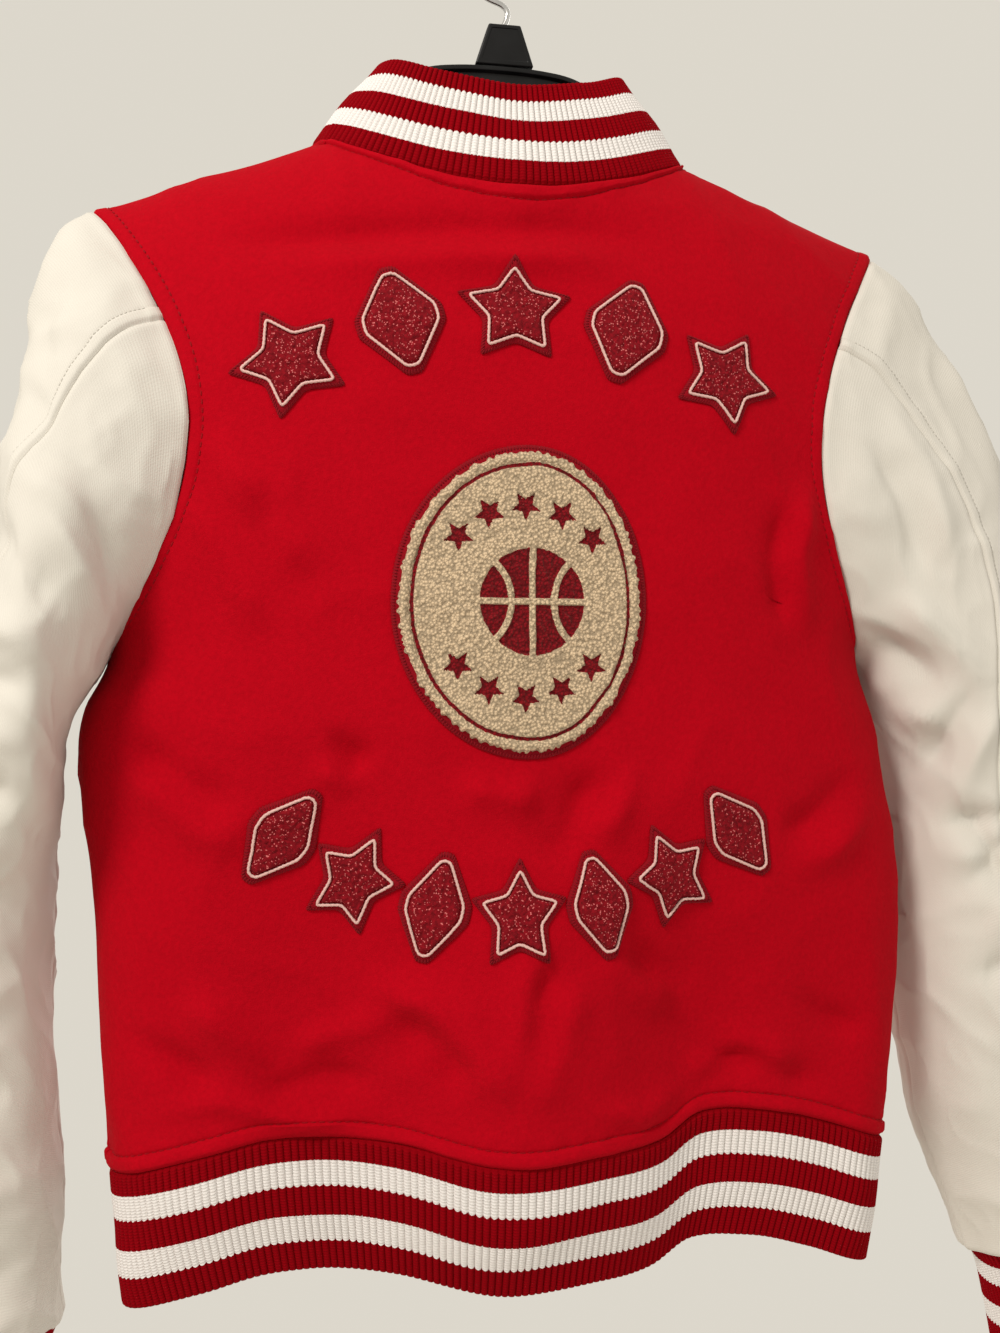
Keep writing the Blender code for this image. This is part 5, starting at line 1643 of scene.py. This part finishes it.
class JacketSettings(bpy.types.PropertyGroup):
    """Sizes and colours of the jacket."""

    rib_pitch: bpy.props.FloatProperty(
        name="Rib pitch", description="Width of one rib and its groove", default=0.0036,
        min=0.003, max=0.008, unit="LENGTH", subtype="DISTANCE")
    rib_rise: bpy.props.FloatProperty(
        name="Rib rise", description="Height of a rib over its groove", default=0.0013,
        min=0.0, max=0.002, unit="LENGTH", subtype="DISTANCE")
    stitch_length: bpy.props.FloatProperty(
        name="Stitch length", description="Length of one topstitch", default=0.0025,
        min=0.002, max=0.006, unit="LENGTH", subtype="DISTANCE")
    fleece_colour: bpy.props.FloatVectorProperty(
        name="Fleece", description="Colour of the body", default=(0.42, 0.0008, 0.008),
        **COLOUR)
    sleeve_colour: bpy.props.FloatVectorProperty(
        name="Sleeves", description="Colour of the sleeves", default=(0.67, 0.64, 0.585),
        **COLOUR)
    rib_colour: bpy.props.FloatVectorProperty(
        name="Rib", description="Main colour of the ribs", default=(0.25, 0.0004, 0.004),
        **COLOUR)
    stripe_colour: bpy.props.FloatVectorProperty(
        name="Stripes", description="Colour of the ribs' stripes", default=(0.83, 0.795, 0.78),
        **COLOUR)
    patch_colour: bpy.props.FloatVectorProperty(
        name="Patches", description="Colour of the dark chenille", default=(0.19, 0.002, 0.007),
        **COLOUR)
    outline_colour: bpy.props.FloatVectorProperty(
        name="Outline", description="Colour of the cord round each patch", default=(0.72, 0.46, 0.42),
        **COLOUR)
    badge_colour: bpy.props.FloatVectorProperty(
        name="Badge", description="Colour of the round badge", default=(0.62, 0.47, 0.31),
        **COLOUR)


# ---------------------------------------------------------------- operators
class JACKET_OT_body(bpy.types.Operator):
    """Cut and sew the fleece back and the two fronts"""

    bl_idname = "jacket.body"
    bl_label = "Body"

    def execute(self, context):
        fleece = fleece_material(context.scene.jacket_settings)
        back = cloth_panel("back_panel", "back", True, (135, 135),
                           (armhole_band, armhole_band, neck_band, full_band),
                           body_rise(-1, 2.0), fleece)
        settle(back, "red_fleece", "back")
        left = cloth_panel("left_front", "front_left", False, (70, 120),
                           (armhole_band, full_band, neck_band, full_band),
                           body_rise(1, 31.0), fleece)
        settle(left, "red_fleece", "front_left")
        right = cloth_panel("right_front", "front_right", False, (70, 120),
                            (full_band, armhole_band, neck_band, full_band),
                            body_rise(1, 31.0), fleece)
        settle(right, "red_fleece", "front_right")
        return {"FINISHED"}


class JACKET_OT_sleeves(bpy.types.Operator):
    """Cut and sew the four pieces of the sleeves"""

    bl_idname = "jacket.sleeves"
    bl_label = "Sleeves"

    def execute(self, context):
        twill = twill_material(context.scene.jacket_settings)
        for side, word in ((-1, "left"), (1, "right")):
            rise = sleeve_rise(side, 12.0 + side)
            top = cloth_panel(f"{word}_sleeve_top", f"sleeve_{word}_top", side < 0, (88, 145),
                              (no_band, sleeve_band, no_band, no_band), rise, twill)
            settle(top, "cream_twill", f"sleeve_{word}_top")
            under = cloth_panel(f"{word}_sleeve_under", f"sleeve_{word}_under", side < 0, (48, 145),
                                (no_band, no_band, no_band, no_band), rise, twill)
            settle(under, "cream_twill", f"sleeve_{word}_under")
        return {"FINISHED"}


class JACKET_OT_ribs(bpy.types.Operator):
    """Knit the striped hem, collar and cuffs"""

    bl_idname = "jacket.ribs"
    bl_label = "Ribs"

    def execute(self, context):
        settings = context.scene.jacket_settings
        pitch = settings.rib_pitch / MM
        rise = settings.rib_rise / MM
        hem = rib_material(settings, "hem_rib_stripes", HEM_STRIPES, rib_height("hem_rib"))
        collar = rib_material(settings, "collar_rib_stripes", COLLAR_STRIPES, rib_height("collar"))
        cuff = rib_material(settings, "cuff_rib_stripes", CUFF_STRIPES, rib_height("cuff_left"))
        for name, node, flip, closed, rows, surface in (
            ("hem_ribbing", "hem_rib", True, False, 8, hem),
            ("collar_ribbing", "collar", False, False, 9, collar),
            ("left_cuff", "cuff_left", True, True, 9, cuff),
            ("right_cuff", "cuff_right", False, True, 9, cuff),
        ):
            piece = rib_panel(name, node, flip, closed, pitch, rise, rows, surface)
            settle(piece, "rib_knit", node)
        return {"FINISHED"}


class JACKET_OT_stitches(bpy.types.Operator):
    """Topstitch the armholes, neck, hem, fronts and sleeve seams"""

    bl_idname = "jacket.stitches"
    bl_label = "Stitches"

    def execute(self, context):
        settings = context.scene.jacket_settings
        length = settings.stitch_length / MM
        # the thread is the fleece's own red; it is painted darker, at 0.72 of the fleece, as painted
        # shade for the dip that each stitch pulls in
        red = yarn_material("red_thread", shade(tuple(settings.fleece_colour), 0.72), 0.8, 2500.0)
        cream = yarn_material("cream_thread", shade(tuple(settings.sleeve_colour), 0.9), 0.7, 2500.0)
        rows = []
        for name in ("back_panel", "left_front", "right_front"):
            skin = SKINS[name]
            for column in (STITCH_STOP, skin.points.shape[1] - 1 - STITCH_STOP):
                line = skin.points[:, column]
                centre_edge = abs(line[len(line) // 2, 0]) < LAP_FULL
                kept = slice(4, -4) if centre_edge else line[:, 2] > UNDERARM_Z + 6.0
                rows.append(topstitch(line[kept], skin.normals[:, column][kept], length, RED_GAP,
                                      RED_THREAD))
            for row, reach in ((STITCH_STOP, NECK_POINT_X), (-1 - STITCH_STOP, None)):
                line = skin.points[row]
                kept = np.abs(line[:, 0]) < reach if reach else slice(6, -6)
                rows.append(topstitch(line[kept], skin.normals[row][kept], length, RED_GAP, RED_THREAD))
        settle(joined("red_topstitching", rows, red), "red_fleece")
        rows = []
        for word in ("left", "right"):
            skin = SKINS[f"{word}_sleeve_top"]
            column = skin.points.shape[1] - 1 - STITCH_STOP
            rows.append(topstitch(skin.points[6:-4, column], skin.normals[6:-4, column],
                                  length * CREAM_SHARE, CREAM_GAP, CREAM_THREAD))
        settle(joined("cream_topstitching", rows, cream), "cream_twill")
        return {"FINISHED"}


class JACKET_OT_patches(bpy.types.Operator):
    """Sew the two arcs of stars and lozenges on the back"""

    bl_idname = "jacket.patches"
    bl_label = "Patches"

    def execute(self, context):
        settings = context.scene.jacket_settings
        dark = tuple(settings.patch_colour)
        surfaces = {"felt": yarn_material("patch_felt", shade(dark, 1.3), 0.95, 900.0),
                    "pile": red_pile_material(settings)}
        cord_yarn = yarn_material("outline_cord_yarn", tuple(settings.outline_colour), 0.8, 1800.0)
        thread = yarn_material("overlock_thread", shade(dark, 1.15), 0.75, 2400.0)
        ground = Ground(SKINS["back_panel"])
        cords = []
        edges = []
        for arc in ARCS:
            for number, shape in enumerate(arc.shapes):
                turn = math.radians(arc.step * (number - (len(arc.shapes) - 1) / 2.0))
                swing = math.copysign(1.0, arc.radius)
                centre = (arc.middle_x + abs(arc.radius) * math.sin(turn),
                          arc.middle_z - arc.radius * (1.0 - math.cos(turn)))
                outline = star_outline if shape == "star" else lozenge_outline
                width = STAR_WIDTH[arc.name] if shape == "star" else LOZENGE_WIDTH[arc.name]
                node = f"{arc.name}_{shape}_{number + 1}"
                felt, pile, cord, edge = patch_parts(
                    node, lambda inset: outline(width, inset), centre, -swing * turn, ground,
                    number + 3.0, surfaces)
                settle(felt, "felt_red", node + "_felt")
                settle(pile, "chenille_red", node + "_pile")
                cords.append(cord)
                edges.append(edge)
        settle(joined("patch_outline_cords", cords, cord_yarn), "chenille_cream")
        settle(joined("patch_edge_stitches", edges, thread), "felt_red")
        return {"FINISHED"}


class JACKET_OT_badge(bpy.types.Operator):
    """Sew the round badge with its ball and stars on the back"""

    bl_idname = "jacket.badge"
    bl_label = "Badge"

    def execute(self, context):
        settings = context.scene.jacket_settings
        dark = tuple(settings.patch_colour)
        ground = Ground(SKINS["back_panel"])
        centre = (BADGE_X, BADGE_Z)
        wool = yarn_material("badge_felt_wool", shade(dark, 1.3), 0.95, 900.0)
        felt = pad_object("badge_felt_base", dense_outline(badge_outline(0.0), 1.8, 1), 14, centre, 0.0,
                          ground, LAYER_GAP, felt_height, wool)
        settle(felt, "felt_red", "badge_felt")
        cream = cream_pile_material(settings)
        pile = pad_object("badge_chenille", dense_outline(badge_outline(PATCH_MARGIN), 0.85, 1), 74,
                          centre, 0.0, ground, FELT_TOP - PILE_SINK, badge_height, cream, badge_mark,
                          BADGE_RAGGED)
        settle(pile, "chenille_cream", "badge_pile")
        edge = edge_stitches(badge_outline(0.0), centre, 0.0, ground)
        thread = yarn_material("badge_edge_thread", shade(dark, 1.2), 0.75, 2400.0)
        settle(joined("badge_edge_stitches", [edge], thread), "felt_red")
        return {"FINISHED"}


class JACKET_OT_snaps(bpy.types.Operator):
    """Press the six snap caps on the right front"""

    bl_idname = "jacket.snaps"
    bl_label = "Snaps"

    def execute(self, context):
        metal = metal_material("snap_satin_nickel", (0.70, 0.70, 0.70), 0.3, 700.0)
        deselect_all()
        bpy.ops.mesh.primitive_cylinder_add(vertices=40, radius=SNAP_RADIUS * MM, depth=SNAP_DISC * MM,
                                            location=(0.0, 0.0, SNAP_DISC / 2.0 * MM))
        cap = bpy.context.object
        cap.name = "snap_cap"
        fix_place(cap)
        bpy.ops.object.mode_set(mode="EDIT")
        select_faces(cap, lambda middle, normal: normal.z > 0.9)
        for width, rise in SNAP_STEPS:
            bpy.ops.mesh.inset(thickness=width * MM, depth=rise * MM)
        bpy.ops.object.mode_set(mode="OBJECT")
        soften_edges(cap, 0.25, 2, 30)
        skin = SKINS["right_front"]
        ground = Ground(skin)
        for number, z in enumerate(SNAP_HEIGHTS, 1):
            hit, normal, _, _ = ground.tree.ray_cast(Vector((0.0, 300.0, z)), Vector((0.0, -1.0, 0.0)))
            if normal.y < 0:
                normal = -normal
            mesh = cap.data.copy()
            turn = normal.to_track_quat("Z", "Y").to_matrix().to_4x4()
            turn.translation = hit * MM
            mesh.transform(turn)
            mesh.materials.clear()
            mesh.materials.append(metal)
            smooth_faces(mesh, 35)
            piece = bpy.data.objects.new(f"front_snap_{number}", mesh)
            context.scene.collection.objects.link(piece)
            settle(piece, "snap_metal", f"snap_{number}")
        bpy.data.objects.remove(cap)
        return {"FINISHED"}


class JACKET_OT_hanger(bpy.types.Operator):
    """Mould the hanger's bar and block and bend its wire hook"""

    bl_idname = "jacket.hanger"
    bl_label = "Hanger"

    def execute(self, context):
        plastic = plastic_material((0.006, 0.006, 0.0065))
        wire = metal_material("hook_bright_wire", (0.62, 0.62, 0.62), 0.25, 500.0)
        self.bar(plastic)
        self.block(plastic)
        self.hook(wire)
        return {"FINISHED"}

    def bar(self, plastic):
        half = list(HANGER_MIDDLE) + [(x, shoulder_line(x) - HANGER_BELOW_SEAM) for x in HANGER_ARM_XS]
        line = [(-x, z) for x, z in reversed(half[1:])] + half
        line = between(line, np.linspace(0, len(line) - 1, 6 * (len(line) - 1) + 1))
        sink = HANGER_DEPTH / 2.0
        step = unit(np.gradient(line, axis=0))
        middle = line + np.stack((step[:, 1], -step[:, 0]), axis=-1) * sink
        path = wire_path("hanger_moulded_bar", [(x, 0.0, z) for x, z in middle], plastic)
        thick = HANGER_FLANGE_THICK
        section = [(HANGER_FLANGE / 2, sink), (HANGER_FLANGE / 2, sink - thick),
                   (HANGER_WEB / 2, sink - thick - HANGER_FILLET),
                   (HANGER_WEB / 2, thick + HANGER_FILLET - sink),
                   (HANGER_FLANGE / 2, thick - sink), (HANGER_FLANGE / 2, -sink)]
        section += [(-across, up) for across, up in reversed(section)]
        outline = wire_path("hanger_section", [(across, up, 0.0) for across, up in section], plastic)
        outline.data.splines[0].use_cyclic_u = True
        outline.data.dimensions = "2D"
        path.data.twist_mode = "Z_UP"
        path.data.bevel_mode = "OBJECT"
        path.data.bevel_object = outline
        path.data.use_fill_caps = True
        made = curve_to_mesh(path)
        bpy.data.objects.remove(outline)
        soften_edges(made, 0.35, 2, 40)
        smooth_faces(made.data, 35)
        settle(made, "hanger_plastic", "hanger_bar")

    def block(self, plastic):
        deselect_all()
        tall = (BLOCK_TOP_Z - BLOCK_LOW_Z) * MM
        place = (BLOCK_X * MM, 0.0, BLOCK_LOW_Z * MM + tall / 2)
        bpy.ops.mesh.primitive_cube_add(size=1.0, location=place)
        block = bpy.context.object
        block.name = "hanger_hook_block"
        block.scale = (BLOCK_LOW_HALF * 2 * MM, BLOCK_THICK * MM, tall)
        fix_place(block)
        bpy.ops.object.mode_set(mode="EDIT")
        select_faces(block, lambda middle, normal: normal.z > 0.9)
        bpy.ops.transform.resize(value=(BLOCK_TOP_HALF / BLOCK_LOW_HALF, 1.0, 1.0),
                                 center_override=(BLOCK_X * MM, 0.0, BLOCK_TOP_Z * MM))
        for side in (-1.0, 1.0):
            select_faces(block, lambda middle, normal: normal.y * side > 0.9)
            bpy.ops.mesh.inset(thickness=2.0 * MM, depth=0.0)
            bpy.ops.mesh.inset(thickness=0.3 * MM, depth=-0.35 * MM)
        bpy.ops.object.mode_set(mode="OBJECT")
        soften_edges(block, 0.8, 3, 60)
        block.data.materials.append(plastic)
        smooth_faces(block.data, 35)
        settle(block, "hanger_plastic", "hanger_block")

    def hook(self, wire):
        centre_z = WIRE_RADIUS - HOOK_RADIUS
        points = list(HOOK_ROUTE)
        for i in range(HOOK_STEPS + 1):
            turn = math.radians(180.0 - (180.0 - HOOK_ARC_END) * i / HOOK_STEPS)
            points.append((math.cos(turn) * HOOK_RADIUS, centre_z + math.sin(turn) * HOOK_RADIUS))
        points = between(points, np.linspace(0, len(points) - 1, 5 * (len(points) - 1) + 1))
        path = wire_path("hanger_wire_hook", [(x, 0.0, z) for x, z in points], wire)
        path.data.bevel_depth = WIRE_RADIUS * MM
        path.data.bevel_resolution = 6
        path.data.use_fill_caps = True
        settle(curve_to_mesh(path), "hook_wire", "hanger_hook")


class JACKET_OT_cloth_facts(bpy.types.Operator):
    """Does nothing; no cut sizes or mounts of the cloth sheets are given"""

    bl_idname = "jacket.cloth_facts"
    bl_label = "Cloth facts"

    def execute(self, context):
        return {"FINISHED"}


class JACKET_OT_stage(bpy.types.Operator):
    """Set the pale floor, the soft studio light and the camera"""

    bl_idname = "jacket.stage"
    bl_label = "Stage"

    def execute(self, context):
        deselect_all()
        bpy.ops.mesh.primitive_plane_add(size=FLOOR_SIZE, location=(0.0, 0.0, FLOOR_Z))
        floor = bpy.context.object
        floor.name = "floor"
        fix_place(floor)
        floor.data.materials.append(floor_material(FLOOR_COLOUR))
        world = bpy.data.worlds.new("pale_room")
        context.scene.world = world
        world.use_nodes = True
        sky = world.node_tree.nodes["Background"]
        sky.inputs["Color"].default_value = SKY_COLOUR
        sky.inputs["Strength"].default_value = SKY_STRENGTH
        for lamp in LAMPS:
            self.light(lamp)
        camera = bpy.data.cameras.new("camera")
        camera.lens = CAMERA_LENS
        camera.sensor_width = CAMERA_SENSOR
        viewer = bpy.data.objects.new("camera", camera)
        viewer.location = CAMERA_PLACE
        viewer.rotation_euler = CAMERA_TURN
        context.scene.collection.objects.link(viewer)
        context.scene.camera = viewer
        context.scene.view_settings.view_transform = "Standard"
        return {"FINISHED"}

    def light(self, lamp):
        light = bpy.data.lights.new(lamp.name, "AREA")
        light.shape = "DISK"
        light.size = lamp.size
        light.energy = lamp.power
        light.color = lamp.colour
        made = bpy.data.objects.new(lamp.name, light)
        made.location = lamp.place
        aim = Vector(LAMP_AIM) - Vector(lamp.place)
        made.rotation_euler = aim.to_track_quat("-Z", "Y").to_euler()
        bpy.context.scene.collection.objects.link(made)


OPERATORS = (JACKET_OT_body, JACKET_OT_sleeves, JACKET_OT_ribs, JACKET_OT_stitches, JACKET_OT_patches,
             JACKET_OT_badge, JACKET_OT_snaps, JACKET_OT_hanger, JACKET_OT_cloth_facts, JACKET_OT_stage)


class JACKET_PT_panel(bpy.types.Panel):
    """Builds the jacket's pieces"""

    bl_idname = "JACKET_PT_panel"
    bl_label = "Varsity jacket"
    bl_space_type = "VIEW_3D"
    bl_region_type = "UI"
    bl_category = "Jacket"

    def draw(self, context):
        settings = context.scene.jacket_settings
        for name in JacketSettings.__annotations__:
            self.layout.prop(settings, name)
        for operator in OPERATORS:
            self.layout.operator(operator.bl_idname)


CLASSES = (JacketSettings,) + OPERATORS + (JACKET_PT_panel,)


def register():
    for made in CLASSES:
        bpy.utils.register_class(made)
    bpy.types.Scene.jacket_settings = bpy.props.PointerProperty(type=JacketSettings)


def unregister():
    del bpy.types.Scene.jacket_settings
    for made in reversed(CLASSES):
        bpy.utils.unregister_class(made)


def main():
    register()
    bpy.ops.jacket.body()
    bpy.ops.jacket.sleeves()
    bpy.ops.jacket.ribs()
    bpy.ops.jacket.stitches()
    bpy.ops.jacket.patches()
    bpy.ops.jacket.badge()
    bpy.ops.jacket.snaps()
    bpy.ops.jacket.hanger()
    bpy.ops.jacket.cloth_facts()
    bpy.ops.jacket.stage()


if __name__ == "__main__":
    main()
